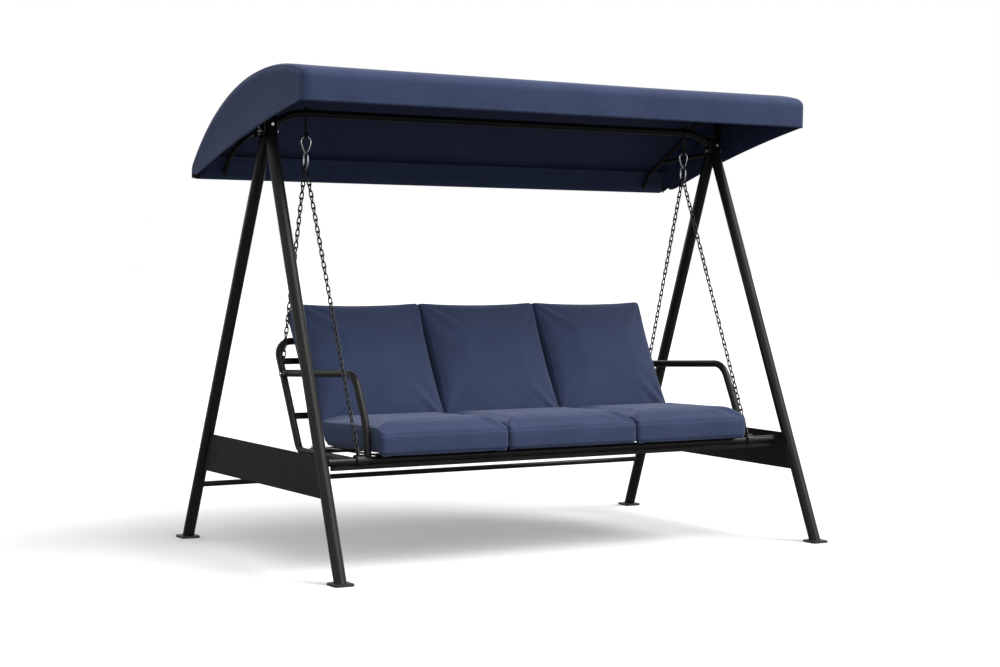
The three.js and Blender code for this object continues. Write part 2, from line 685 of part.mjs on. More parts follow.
const frontRailCutter = () =>
  bar(
    vector(-SEAT_RAIL_HALF_LENGTH, SEAT_RAIL_Y, SEAT_RAIL_Z),
    vector(SEAT_RAIL_HALF_LENGTH, SEAT_RAIL_Y, SEAT_RAIL_Z),
    SEAT_RAIL_RADIUS + GAP,
    24,
  );

function seatFrontRail() {
  const left = vector(-SEAT_RAIL_HALF_LENGTH, SEAT_RAIL_Y, SEAT_RAIL_Z);
  const right = vector(SEAT_RAIL_HALF_LENGTH, SEAT_RAIL_Y, SEAT_RAIL_Z);
  return bar(left, right, SEAT_RAIL_RADIUS, 24);
}

// A square bar under the front rail.
function seatStiffener() {
  const top = SEAT_RAIL_Z - SEAT_RAIL_RADIUS - GAP;
  const half = STIFFENER_SIZE / 2;
  return block(
    vector(-STIFFENER_HALF_LENGTH, SEAT_RAIL_Y - half, top - STIFFENER_SIZE),
    vector(STIFFENER_HALF_LENGTH, SEAT_RAIL_Y + half, top),
  );
}

function seatSideRail(side) {
  const x = side * SIDE_X;
  const corners = [
    vector(x, SEAT_RAIL_Y + STIFFENER_SIZE / 2 + OVERLAP, SIDE_RAIL_Z),
    backPoint(x, 0),
    backPoint(x, SPLICE_HEIGHT),
  ];
  return subtract(bentTube(corners, [SIDE_RAIL_BEND_RADIUS], SEAT_TUBE_RADIUS), frontRailCutter());
}

function backFrame() {
  const corners = [
    backPoint(-SIDE_X, SPLICE_HEIGHT + GAP),
    backPoint(-SIDE_X, BACK_HEIGHT),
    backPoint(SIDE_X, BACK_HEIGHT),
    backPoint(SIDE_X, SPLICE_HEIGHT + GAP),
  ];
  return bentTube(corners, [BACK_CORNER_RADIUS, BACK_CORNER_RADIUS], SEAT_TUBE_RADIUS);
}

function armrest(side) {
  const x = side * SIDE_X;
  const onPost = backPoint(x, (stud.z - BACK_FOOT_Z) / Math.cos(BACK_LEAN));
  const corners = [onPost, ...[ARM_TOP, ARM_KNEE, ARM_FOOT].map(({ y, z }) => vector(x, y, z))];
  const post = bar(backPoint(x, SPLICE_HEIGHT), backPoint(x, BACK_HEIGHT), SEAT_TUBE_RADIUS + GAP, 24);
  return subtract(bentTube(corners, ARM_BEND_RADII, SEAT_TUBE_RADIUS), post, frontRailCutter());
}

const deckFrontY = SEAT_RAIL_Y - SEAT_RAIL_RADIUS;
const deckRearY = REAR_RAIL_Y + REAR_RAIL_RADIUS;

// The underside of the seat's deck, which lies on the front rail and falls to the rear rail.
function deckZ(y) {
  return SEAT_RAIL_Z + SEAT_RAIL_RADIUS + GAP - (y - SEAT_RAIL_Y) * Math.tan(SEAT_SLOPE);
}

function seatRearRail() {
  const z = deckZ(REAR_RAIL_Y) - GAP - REAR_RAIL_RADIUS / Math.cos(SEAT_SLOPE);
  const end = SIDE_X - SEAT_TUBE_RADIUS - GAP;
  return bar(vector(-end, REAR_RAIL_Y, z), vector(end, REAR_RAIL_Y, z), REAR_RAIL_RADIUS, 16);
}

// Flat bars side by side, joined by cross strips, drawn flat with its front edge at the origin. The
// strips run the whole width and the bars keep a margin from each end of it.
function barGrid(width, length, margin, strips) {
  const pieces = [];
  for (let i = 0; i < DECK_BAR_COUNT; i += 1) {
    const x = (i / (DECK_BAR_COUNT - 1) - 0.5) * (width - DECK_BAR_WIDTH - 2 * margin);
    pieces.push(block(
      vector(x - DECK_BAR_WIDTH / 2, 0, 0),
      vector(x + DECK_BAR_WIDTH / 2, length, DECK_BAR),
    ));
  }
  for (const share of strips) {
    const at = share * length;
    pieces.push(block(
      vector(-width / 2, at - DECK_BAR_WIDTH / 2, 0),
      vector(width / 2, at + DECK_BAR_WIDTH / 2, DECK_BAR),
    ));
  }
  return union(...pieces);
}

function seatDeck() {
  const length = (deckRearY - deckFrontY) / Math.cos(SEAT_SLOPE);
  const width = 2 * (SIDE_X - SEAT_TUBE_RADIUS - DECK_BAR);
  const grid = barGrid(width, length, DECK_BAR, SEAT_STRIPS);
  return grid.rotateX(-SEAT_SLOPE).translate(0, deckFrontY, deckZ(deckFrontY) + GAP);
}

function backDeck() {
  const bottom = SPLICE_HEIGHT;
  const length = BACK_HEIGHT - SEAT_TUBE_RADIUS - OVERLAP - bottom;
  const width = 2 * (SIDE_X - SEAT_TUBE_RADIUS - GAP);
  const grid = barGrid(width, length, BACK_CORNER_RADIUS, BACK_STRIPS);
  const foot = backPoint(0, bottom);
  return grid.rotateX(Math.PI / 2 - BACK_LEAN).translate(0, foot.y, foot.z);
}

// ---------------------------------------------------------------------------------------------
// Cushions
// ---------------------------------------------------------------------------------------------
// Its back face leans as the back does.
function seatCushion(index) {
  const [from, to] = SEAT_CUSHION_ENDS.slice(index, index + 2);
  const width = to - from - CUSHION_SPACING;
  const solid = cushion(width, SEAT_CUSHION_DEPTH, SEAT_CUSHION_HEIGHT, SEAT_CUSHION_CROWN);
  const position = solid.attributes.position;
  for (let i = 0; i < position.count; i += 1) {
    const back = position.getY(i) / SEAT_CUSHION_DEPTH + 0.5;
    position.setY(i, position.getY(i) + Math.tan(BACK_LEAN) * back * position.getZ(i));
  }
  const middleY = SEAT_CUSHION_FRONT_Y + SEAT_CUSHION_DEPTH / 2;
  const restZ = deckZ(middleY) + DECK_BAR + CUSHION_SPACING;
  return solid.rotateX(-SEAT_SLOPE).translate((from + to) / 2, middleY, restZ + SEAT_CUSHION_HEIGHT / 2);
}

function backCushion(index) {
  const [from, to] = BACK_CUSHION_ENDS.slice(index, index + 2);
  const width = to - from - CUSHION_SPACING;
  const solid = cushion(width, BACK_CUSHION_HEIGHT, BACK_CUSHION_THICKNESS, BACK_CUSHION_CROWN);
  const middle = backPoint(
    (from + to) / 2,
    BACK_CUSHION_LIFT + BACK_CUSHION_HEIGHT / 2,
    SEAT_TUBE_RADIUS + GAP + BACK_CUSHION_THICKNESS / 2,
  );
  return solid.rotateX(Math.PI / 2 - BACK_LEAN).translate(middle.x, middle.y, middle.z);
}

// ---------------------------------------------------------------------------------------------
// Canopy
// ---------------------------------------------------------------------------------------------
// Height of the roof at a distance from front to back, for its outer face or one set in from it.
function roofZ(y, inset = 0) {
  return ROOF_CENTRE.z + Math.sqrt((ROOF_RADIUS - inset) ** 2 - (y - ROOF_CENTRE.y) ** 2);
}

function roofAngle(y, inset = 0) {
  return Math.atan2(roofZ(y, inset) - ROOF_CENTRE.z, y - ROOF_CENTRE.y);
}

// The canopy from the side: valance, curved roof, rear flap, and the end panels' bowed lower edge.
function coverProfile() {
  const shape = new THREE.Shape();
  const endZ = (VALANCE_BOTTOM_Z + FLAP_BOTTOM_Z) / 2 + 2 * END_PANEL_RISE;
  shape.moveTo(COVER_FRONT_Y, VALANCE_BOTTOM_Z);
  shape.quadraticCurveTo((COVER_FRONT_Y + COVER_REAR_Y) / 2, endZ, COVER_REAR_Y - HEEL_LENGTH, FLAP_BOTTOM_Z);
  shape.lineTo(COVER_REAR_Y, FLAP_BOTTOM_Z);
  shape.lineTo(COVER_REAR_Y, roofZ(COVER_REAR_Y));
  shape.absarc(
    ROOF_CENTRE.y,
    ROOF_CENTRE.z,
    ROOF_RADIUS,
    roofAngle(COVER_REAR_Y),
    roofAngle(COVER_FRONT_Y),
    false,
  );
  return shape;
}

function coverHollow() {
  const front = COVER_FRONT_Y + COVER_THICKNESS;
  const rear = COVER_REAR_Y - COVER_THICKNESS;
  const shape = new THREE.Shape();
  shape.moveTo(front, APEX_Z / 2);
  shape.lineTo(rear, APEX_Z / 2);
  shape.absarc(
    ROOF_CENTRE.y,
    ROOF_CENTRE.z,
    ROOF_RADIUS - COVER_THICKNESS,
    roofAngle(rear, COVER_THICKNESS),
    roofAngle(front, COVER_THICKNESS),
    false,
  );
  return shape;
}

const coverHalfWidth = uprightX + COVER_OVERHANG;

function canopyCover() {
  const outer = plateAcrossX(coverProfile(), -coverHalfWidth, coverHalfWidth, 14);
  const innerHalf = coverHalfWidth - COVER_THICKNESS;
  return subtract(outer, plateAcrossX(coverHollow(), -innerHalf, innerHalf, 14));
}

// A flat bar outside each A-frame that turns on the tilt bolt, with a foot at its back for the brace.
function canopyUpright(side) {
  const half = UPRIGHT_WIDTH / 2;
  const footZ = TILT_Z - half;
  const shape = new THREE.Shape();
  shape.moveTo(APEX_Y, footZ);
  shape.lineTo(APEX_Y + UPRIGHT_FOOT_REACH, footZ);
  shape.lineTo(APEX_Y + UPRIGHT_FOOT_REACH, TILT_Z + half / 2);
  shape.lineTo(APEX_Y + half, TILT_Z + 1.5 * half);
  shape.lineTo(APEX_Y + half, UPRIGHT_TOP_Z - half / 2);
  shape.lineTo(APEX_Y + half / 2, UPRIGHT_TOP_Z);
  shape.lineTo(APEX_Y - half, UPRIGHT_TOP_Z);
  shape.lineTo(APEX_Y - half, TILT_Z);
  shape.absarc(APEX_Y, TILT_Z, half, Math.PI, 1.5 * Math.PI, false);
  const hole = new THREE.Path();
  hole.absarc(APEX_Y, TILT_Z, TILT_BOLT_RADIUS + GAP, 0, 2 * Math.PI, true);
  shape.holes.push(hole);
  return plateAcrossX(shape, side * uprightX, side * (uprightX + UPRIGHT_THICKNESS), 8);
}

const ribX = uprightX - RIB_INSET;
const ribCrown = { y: APEX_Y, z: RIB_CROWN_Z };
const ridgeBar = { y: APEX_Y, z: RIB_CROWN_Z + RIDGE_BAR_LIFT };
const rearBar = { y: COVER_REAR_Y - BAR_INSET, z: FLAP_BOTTOM_Z + REAR_BAR_LIFT };
const frontBar = { y: COVER_FRONT_Y + BAR_INSET, z: FRONT_BAR_Z };

function canopyBar({ y, z }, halfLength, radius) {
  return bar(vector(-halfLength, y, z), vector(halfLength, y, z), radius, 16);
}

const ribTail = new THREE.Vector2(rearBar.y - RIB_BEND.y, rearBar.z - RIB_BEND.z).normalize();

// A point on a rib's last stretch, past the rear bar's centre by a distance.
function ribTailPoint(side, reach) {
  return vector(side * ribX, rearBar.y + reach * ribTail.x, rearBar.z + reach * ribTail.y);
}

const ribStop = 1.6 * REAR_BAR_RADIUS; // the tube ends this far short of the rear bar's centre

function canopyRib(side) {
  const at = ({ y, z }) => vector(side * ribX, y, z);
  const start = { y: frontBar.y + CANOPY_TUBE_RADIUS + OVERLAP, z: frontBar.z - OVERLAP };
  const corners = [at(start), at(ribCrown), at(RIB_BEND), ribTailPoint(side, -ribStop)];
  return bentTube(corners, RIB_BEND_RADII, CANOPY_TUBE_RADIUS);
}

function ribCap(side) {
  const cap = bar(ribTailPoint(side, GAP - ribStop), ribTailPoint(side, RIB_CAP_REACH), RIB_CAP_RADIUS, 16);
  return subtract(cap, canopyBar(rearBar, coverHalfWidth, REAR_BAR_RADIUS + GAP));
}

// From the upright's foot, inward and back to the underside of the rib.
function canopyBrace(side) {
  const outerX = uprightX + UPRIGHT_THICKNESS + GAP;
  const footY = APEX_Y + 0.9 * UPRIGHT_WIDTH;
  const foot = vector(side * (outerX + BRACE_RADIUS), footY, TILT_Z - 0.75 * BRACE_RADIUS);
  const crown = vector(side * ribX, ribCrown.y, ribCrown.z);
  const bend = vector(side * ribX, RIB_BEND.y, RIB_BEND.z);
  const head = crown.clone().lerp(bend, BRACE_SHARE);
  const plate = block(
    vector(-outerX, -FOOT_SPAN_Y, 0),
    vector(outerX, APEX_Y + UPRIGHT_FOOT_REACH + GAP, 2 * APEX_Z),
  );
  return subtract(bar(foot, head, BRACE_RADIUS, 16), plate, bar(crown, bend, CANOPY_TUBE_RADIUS + GAP, 16));
}

// ---------------------------------------------------------------------------------------------
// Assembly
// ---------------------------------------------------------------------------------------------
for (const [endName, end] of Object.entries(ENDS)) {
  for (const [sideName, side] of Object.entries(SIDES)) {
    add(`leg_${endName}_${sideName}`, leg(side, end), 'frame');
    add(`foot_pad_${endName}_${sideName}`, footPad(side, end), 'plastic');
    add(`chain_${endName}_${sideName}`, chain(side, end), 'chain');
  }
}
for (const [name, side] of Object.entries(SIDES)) {
  add(`side_panel_${name}`, sidePanel(side), 'panel');
  add(`tilt_bolt_${name}`, tiltBolt(side), 'plated');
  add(`wing_nut_${name}`, wingNut(side), 'plated');
  add(`cross_bolt_${name}`, crossBolt(side), 'plated');
  add(`hanger_eye_${name}`, hangerEye(side), 'frame');
  add(`pear_ring_${name}`, pearRing(side), 'plated');
  add(`narrow_link_${name}`, narrowLink(side), 'plated');
  add(`chain_clamp_${name}`, chainClamp(side), 'chain');
  add(`chain_stud_${name}`, chainStud(side), 'plated');
  add(`seat_side_rail_${name}`, seatSideRail(side), 'frame');
  add(`armrest_${name}`, armrest(side), 'frame');
  add(`canopy_upright_${name}`, canopyUpright(side), 'frame');
  add(`canopy_brace_${name}`, canopyBrace(side), 'frame');
  add(`canopy_rib_${name}`, canopyRib(side), 'frame');
  add(`rib_cap_${name}`, ribCap(side), 'plastic');
}
add('rear_crossbar', rearCrossbar(), 'frame');
add('top_rail', topRail(), 'frame');
add('seat_front_rail', seatFrontRail(), 'frame');
add('seat_stiffener', seatStiffener(), 'frame');
add('seat_rear_rail', seatRearRail(), 'frame');
add('back_frame', backFrame(), 'frame');
add('seat_deck', seatDeck(), 'frame');
add('back_deck', backDeck(), 'frame');
['left', 'middle', 'right'].forEach((name, index) => {
  add(`seat_cushion_${name}`, seatCushion(index), 'cushion');
  add(`back_cushion_${name}`, backCushion(index), 'cushion');
});
add('canopy_front_bar', canopyBar(frontBar, coverHalfWidth - BAR_END_GAP, CANOPY_TUBE_RADIUS), 'frame');
add('canopy_ridge_bar', canopyBar(ridgeBar, uprightX - GAP, CANOPY_TUBE_RADIUS), 'frame');
add('canopy_rear_bar', canopyBar(rearBar, coverHalfWidth - BAR_END_GAP, REAR_BAR_RADIUS), 'frame');
add('canopy_cover', canopyCover(), 'canopy');

export default swing;
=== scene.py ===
"""The looks of a three-seat canopy porch swing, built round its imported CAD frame. Metres, +Z up."""

import json
import math
from itertools import accumulate
from typing import NamedTuple

import bmesh
import bpy
from mathutils import Matrix, Quaternion, Vector, noise


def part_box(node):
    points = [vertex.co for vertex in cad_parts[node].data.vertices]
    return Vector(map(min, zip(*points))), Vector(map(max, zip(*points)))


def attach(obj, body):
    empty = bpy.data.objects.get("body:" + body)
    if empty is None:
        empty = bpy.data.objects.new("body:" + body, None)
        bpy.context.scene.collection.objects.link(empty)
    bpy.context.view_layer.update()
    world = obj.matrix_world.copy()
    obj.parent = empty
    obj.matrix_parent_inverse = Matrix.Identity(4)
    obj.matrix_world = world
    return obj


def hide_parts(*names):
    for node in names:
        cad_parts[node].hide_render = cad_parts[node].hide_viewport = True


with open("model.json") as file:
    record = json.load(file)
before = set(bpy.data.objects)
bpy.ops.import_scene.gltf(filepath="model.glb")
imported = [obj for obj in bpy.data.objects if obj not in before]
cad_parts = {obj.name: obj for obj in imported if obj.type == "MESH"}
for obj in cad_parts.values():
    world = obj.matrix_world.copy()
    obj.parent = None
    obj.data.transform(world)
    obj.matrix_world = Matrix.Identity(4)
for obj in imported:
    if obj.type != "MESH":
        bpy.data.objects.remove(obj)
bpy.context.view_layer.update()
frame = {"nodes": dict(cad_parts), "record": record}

# --------------------------------------------------------------------------------------------
# Camera
# --------------------------------------------------------------------------------------------
CAMERA_AT = Vector((-4.175, -6.307, 1.143))
CAMERA_YAW, CAMERA_PITCH, CAMERA_ROLL = (math.radians(a) for a in (33.28, -2.85, 0.96))
LENS_MM = 73.74
SENSOR_MM = 36

SIDES = {"left": -1, "right": 1}
SEATS = ("left", "middle", "right")


def make_camera():
    """A camera at eye height, in front and to the viewer's left."""
    forward = Vector(
        (
            math.sin(CAMERA_YAW) * math.cos(CAMERA_PITCH),
            math.cos(CAMERA_YAW) * math.cos(CAMERA_PITCH),
            math.sin(CAMERA_PITCH),
        )
    )
    level = Vector((math.cos(CAMERA_YAW), -math.sin(CAMERA_YAW), 0))
    upright = level.cross(forward)
    right = math.cos(CAMERA_ROLL) * level + math.sin(CAMERA_ROLL) * upright
    up = math.cos(CAMERA_ROLL) * upright - math.sin(CAMERA_ROLL) * level
    axes = Matrix((right, up, -forward)).transposed()
    data = bpy.data.cameras.new("camera")
    data.lens = LENS_MM
    data.sensor_width = SENSOR_MM
    camera = bpy.data.objects.new("camera", data)
    camera.matrix_world = Matrix.Translation(CAMERA_AT) @ axes.to_4x4()
    bpy.context.scene.collection.objects.link(camera)
    bpy.context.scene.camera = camera


make_camera()

# --------------------------------------------------------------------------------------------
# Helpers
# --------------------------------------------------------------------------------------------


def link(name, mesh):
    """Puts a mesh into the scene as an object."""
    obj = bpy.data.objects.new(name, mesh)
    bpy.context.scene.collection.objects.link(obj)
    return obj


def mesh_from(name, points, faces, smooth=True):
    """An object made from points and faces."""
    mesh = bpy.data.meshes.new(name)
    mesh.from_pydata([tuple(p) for p in points], [], faces)
    mesh.polygons.foreach_set("use_smooth", [smooth] * len(mesh.polygons))
    mesh.update()
    return link(name, mesh)


def middle(node):
    """The centre of a CAD node's box."""
    low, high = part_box(node)
    return (low + high) / 2


def apply_modifiers(obj):
    """Bakes an object's modifiers into its mesh."""
    graph = bpy.context.evaluated_depsgraph_get()
    baked = bpy.data.meshes.new_from_object(obj.evaluated_get(graph))
    obj.modifiers.clear()
    old = obj.data
    obj.data = baked
    bpy.data.meshes.remove(old)


def arrive(obj, body, material, slot, *replaced):
    """Gives a finished piece its material and its CAD body, and hides the CAD nodes it stands for. The slot
    argument is not used.
    """
    obj.data.materials.clear()
    obj.data.materials.append(material)
    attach(obj, body)
    if replaced:
        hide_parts(*replaced)
    return obj


TUBE_SIDES = 8


def tube_mesh(name, path, radius):
    """A round tube along points, closed at both ends, its rings kept from twisting."""
    last = len(path) - 1
    tangents = [(path[min(i + 1, last)] - path[max(i - 1, 0)]).normalized() for i in range(last + 1)]
    normal = tangents[0].orthogonal().normalized()
    points = []
    for i in range(last + 1):
        if i:
            normal = tangents[i - 1].rotation_difference(tangents[i]) @ normal
        normal = (normal - tangents[i] * normal.dot(tangents[i])).normalized()
        binormal = tangents[i].cross(normal)
        for j in range(TUBE_SIDES):
            angle = 2 * math.pi * j / TUBE_SIDES
            points.append(path[i] + radius * (math.cos(angle) * normal + math.sin(angle) * binormal))
    faces = []
    for i in range(last):
        a, b = i * TUBE_SIDES, (i + 1) * TUBE_SIDES
        for j in range(TUBE_SIDES):
            k = (j + 1) % TUBE_SIDES
            faces.append((a + j, a + k, b + k, b + j))
    faces.append(tuple(range(TUBE_SIDES))[::-1])
    faces.append(tuple(range(last * TUBE_SIDES, (last + 1) * TUBE_SIDES)))
    return mesh_from(name, points, faces)


# --------------------------------------------------------------------------------------------
# Materials
# --------------------------------------------------------------------------------------------
NOISE_RANGE = (0.3, 0.7)  # what a noise texture mostly returns
WEFT_SPACING = 1.2  # of the threads that run up and back, against those that run across
CLOUD_SHARE = 0.45  # of a cloth's shade; the rest follows its threads
SHEEN_TINT = (0.62, 0.7, 0.95, 1)


class Nodes:
    """A short way to build a material's nodes."""

    def __init__(self, name):
        self.material = bpy.data.materials.new(name)
        self.material.use_nodes = True
        self.tree = self.material.node_tree
        self.shader = self.tree.nodes["Principled BSDF"]
        self.place = self.add("ShaderNodeTexCoord").outputs["Object"]

    def add(self, kind, **settings):
        node = self.tree.nodes.new(kind)
        for key, value in settings.items():
            setattr(node, key, value)
        return node

    def join(self, source, target):
        self.tree.links.new(source, target)

    def fix(self, **sockets):
        """Sets constant values on the shader's own sockets."""
        for key, value in sockets.items():
            self.shader.inputs[key.replace("_", " ")].default_value = value

    def drive(self, socket, source):
        """Feeds one of the shader's own sockets from another node."""
        self.join(source, self.shader.inputs[socket])

    def noise(self, scale, detail):
        node = self.add("ShaderNodeTexNoise")
        node.inputs["Scale"].default_value = scale
        node.inputs["Detail"].default_value = detail
        self.join(self.place, node.inputs["Vector"])
        return node.outputs["Fac"]

    def spread(self, value, low, high, source=NOISE_RANGE):
        """Maps a value from its source range to low..high."""
        node = self.add("ShaderNodeMapRange")
        node.inputs["From Min"].default_value = source[0]
        node.inputs["From Max"].default_value = source[1]
        node.inputs["To Min"].default_value = low
        node.inputs["To Max"].default_value = high
        self.join(value, node.inputs["Value"])
        return node.outputs["Result"]

    def patches(self, scale, detail, low=0, high=1):
        """Soft noise spread over low..high."""
        return self.spread(self.noise(scale, detail), low, high)

    def math(self, operation, a, b):
        node = self.add("ShaderNodeMath", operation=operation)
        for socket, value in zip(node.inputs, (a, b)):
            if isinstance(value, (int, float)):
                socket.default_value = value
            else:
                self.join(value, socket)
        return node.outputs["Value"]

    def mix(self, factor, first, second):
        node = self.add("ShaderNodeMix", data_type="RGBA")
        self.join(factor, node.inputs["Factor"])
        for socket, value in ((node.inputs[6], first), (node.inputs[7], second)):
            if isinstance(value, tuple):
                socket.default_value = (*value, 1)
            else:
                self.join(value, socket)
        return node.outputs[2]

    def bump(self, height, strength, distance):
        node = self.add("ShaderNodeBump")
        node.inputs["Strength"].default_value = strength
        node.inputs["Distance"].default_value = distance
        self.join(height, node.inputs["Height"])
        self.drive("Normal", node.outputs["Normal"])


def powder_coat(name, dark, light, rough, gloss):
    """Painted steel: an even satin black with a faint orange peel."""
    n = Nodes(name)
    n.drive("Base Color", n.mix(n.patches(scale=9, detail=4), dark, light))
    n.drive("Roughness", n.patches(scale=60, detail=2, low=rough - 0.04, high=rough + 0.05))
    n.fix(Specular_IOR_Level=gloss)
    n.bump(n.noise(scale=1400, detail=1), strength=0.3, distance=0.0003)
    return n.material


def plated_steel():
    """Bright zinc plate with fine wear."""
    n = Nodes("plated_steel")
    n.drive("Base Color", n.mix(n.patches(scale=40, detail=4), (0.56, 0.57, 0.59), (0.78, 0.79, 0.8)))
    n.drive("Roughness", n.patches(scale=300, detail=3, low=0.16, high=0.34))
    n.fix(Metallic=1.0)
    n.bump(n.noise(scale=700, detail=2), strength=0.15, distance=0.0002)
    return n.material


def foot_plastic():
    """Moulded black plastic with a spark-eroded grain."""
    n = Nodes("foot_plastic")
    n.drive("Base Color", n.mix(n.patches(scale=30, detail=3), (0.012, 0.012, 0.012), (0.02, 0.02, 0.021)))
    n.drive("Roughness", n.patches(scale=200, detail=2, low=0.5, high=0.62))
    n.bump(n.noise(scale=1800, detail=2), strength=0.5, distance=0.0003)
    return n.material


def woven(name, dark, light, thread, sheen, rough):
    """A plain weave: threads over and under along the piece's own two directions, with slubs."""
    n = Nodes(name)
    separate = n.add("ShaderNodeSeparateXYZ")
    n.join(n.place, separate.inputs["Vector"])
    x, y, z = separate.outputs
    waves = 2 * math.pi / thread
    warp = n.math("SINE", n.math("MULTIPLY", x, waves), 0)
    weft = n.math("SINE", n.math("MULTIPLY", n.math("ADD", y, z), waves / WEFT_SPACING), 0)
    weave = n.math("MULTIPLY", warp, weft)
    slub = n.noise(scale=420, detail=2)
    height = n.math("ADD", n.math("MULTIPLY", weave, 0.5), slub)
    cloud = n.math("MULTIPLY", n.patches(scale=7, detail=4), CLOUD_SHARE)
    speck = n.math("MULTIPLY", n.spread(height, 0, 1, source=(0, 1)), 1 - CLOUD_SHARE)
    n.drive("Base Color", n.mix(n.math("ADD", cloud, speck), dark, light))
    n.fix(Roughness=rough, Specular_IOR_Level=0.25)
    n.fix(Sheen_Weight=sheen, Sheen_Roughness=0.45, Sheen_Tint=SHEEN_TINT)
    n.bump(height, strength=0.35, distance=0.0004)
    return n.material


FRAME_BLACK = powder_coat(
    "frame_steel", dark=(0.008, 0.008, 0.0078), light=(0.012, 0.012, 0.0116), rough=0.3, gloss=0.2
)
PANEL_BLACK = powder_coat(
    "panel_steel", dark=(0.006, 0.006, 0.006), light=(0.009, 0.009, 0.009), rough=0.5, gloss=0.12
)
CHAIN_BLACK = powder_coat(
    "chain_steel", dark=(0.005, 0.005, 0.0055), light=(0.009, 0.009, 0.0095), rough=0.3, gloss=0.4
)
PLATED = plated_steel()
PLASTIC = foot_plastic()
CUSHION_NAVY = woven(
    "cushion_fabric",
    dark=(0.02, 0.03, 0.071),
    light=(0.033, 0.048, 0.108),
    thread=0.0011,
    sheen=0.28,
    rough=0.85,
)
CANOPY_NAVY = woven(
    "canopy_fabric",
    dark=(0.019, 0.03, 0.074),
    light=(0.034, 0.05, 0.116),
    thread=0.0008,
    sheen=0.16,
    rough=0.78,
)
# Painted shade: a darker navy for the pocket's seam tube, standing in for the shade line along the pocket's
# top
CANOPY_SEAM_SHADE = woven(
    "canopy_seam",
    dark=(0.008, 0.011, 0.024),
    light=(0.012, 0.017, 0.036),
    thread=0.0008,
    sheen=0.05,
    rough=0.9,
)

FINISHES = {
    "frame_steel": FRAME_BLACK,
    "panel_steel": PANEL_BLACK,
    "chain_steel": CHAIN_BLACK,
    "plated_steel": PLATED,
    "foot_plastic": PLASTIC,
    "cushion_fabric": CUSHION_NAVY,
    "canopy_fabric": CANOPY_NAVY,
}

WELD_DISTANCE = 1e-5
EDGE_ROUNDING = 0.0008
EDGE_ANGLE = math.radians(38)  # edges sharper than this are rounded


def dress_nodes():
    """Every CAD node gets its material, smooth round faces and small rounded edges."""
    slots = {part["node"]: part["material_slot"] for part in frame["record"]["subparts"]}
    for name, obj in frame["nodes"].items():
        mesh = obj.data
        mesh.materials.clear()
        mesh.materials.append(FINISHES[slots[name]])
        for attribute in ("custom_normal", "sharp_edge", "sharp_face"):
            if attribute in mesh.attributes:
                mesh.attributes.remove(mesh.attributes[attribute])
        mesh.polygons.foreach_set("use_smooth", [True] * len(mesh.polygons))
        weld = obj.modifiers.new("weld", "WELD")
        weld.merge_threshold = WELD_DISTANCE
        bevel = obj.modifiers.new("bevel", "BEVEL")
        bevel.width = EDGE_ROUNDING
        bevel.segments = 2
        bevel.limit_method = "ANGLE"
        bevel.angle_limit = EDGE_ANGLE
        bevel.harden_normals = True


dress_nodes()

# --------------------------------------------------------------------------------------------
# Chains
# --------------------------------------------------------------------------------------------
LINK_PITCH = 0.0222  # a chain's own pitch is the nearest that divides its length
LINK_WIRE = 0.0025  # half thickness
LINK_HALF_WIDTH = 0.0062
LINK_TWIST = math.radians(34)  # over one pitch
LINK_SIDES = 8
LINK_BEND_STEPS = 7
FITTING_WIRE = 0.003  # half thickness of the stud and of the link that the chains hang on
CHAIN_CLEARANCE = 0.004  # from a CAD chain's lower end to the fitting it hangs on
EAR_MARGIN = 0.0115  # from the clamp's rim to where a link's wire bears in its hole
TOP_REACH = 0.0104  # from a CAD chain's upper end to where its link bears on the link above


def link_rings(pitch):
    """One link about the origin, long along Z, as the rings of points round its wire."""
    straight = pitch / 2 + LINK_WIRE - LINK_HALF_WIDTH
    rings = []
    for end in (1, -1):
        for i in range(LINK_BEND_STEPS + 1):
            bend = math.pi * i / LINK_BEND_STEPS
            out_x = end * math.cos(bend)
            out_z = end * math.sin(bend)
            x = LINK_HALF_WIDTH * out_x
            z = end * straight + LINK_HALF_WIDTH * out_z
            ring = []
            for j in range(LINK_SIDES):
                angle = 2 * math.pi * j / LINK_SIDES
                reach = LINK_WIRE * math.cos(angle)
                ring.append(Vector((x + reach * out_x, LINK_WIRE * math.sin(angle), z + reach * out_z)))
            rings.append(ring)
    return rings


def twisted(point, pitch):
    """Turns a link's point about Z, the more the further it is from the link's middle."""
    turn = LINK_TWIST * point.z / pitch
    return Vector(
        (
            point.x * math.cos(turn) - point.y * math.sin(turn),
            point.x * math.sin(turn) + point.y * math.cos(turn),
            point.z,
        )
    )


def chain_ends(name, front):
    """Where a chain's end links bear on their fittings: (bottom, top, unit axis)."""
    vertices = [v.co for v in frame["nodes"][name].data.vertices]
    split = middle(name).z
    rings = [[v for v in vertices if (v.z < split) == low] for low in (True, False)]
    bottom, top = (sum(ring, Vector()) / len(ring) for ring in rings)
    axis = (top - bottom).normalized()
    if front:
        bottom -= axis * (CHAIN_CLEARANCE + EAR_MARGIN - LINK_WIRE)
    else:
        bottom -= axis * (CHAIN_CLEARANCE + 2 * FITTING_WIRE)
    return bottom, top + axis * TOP_REACH, axis


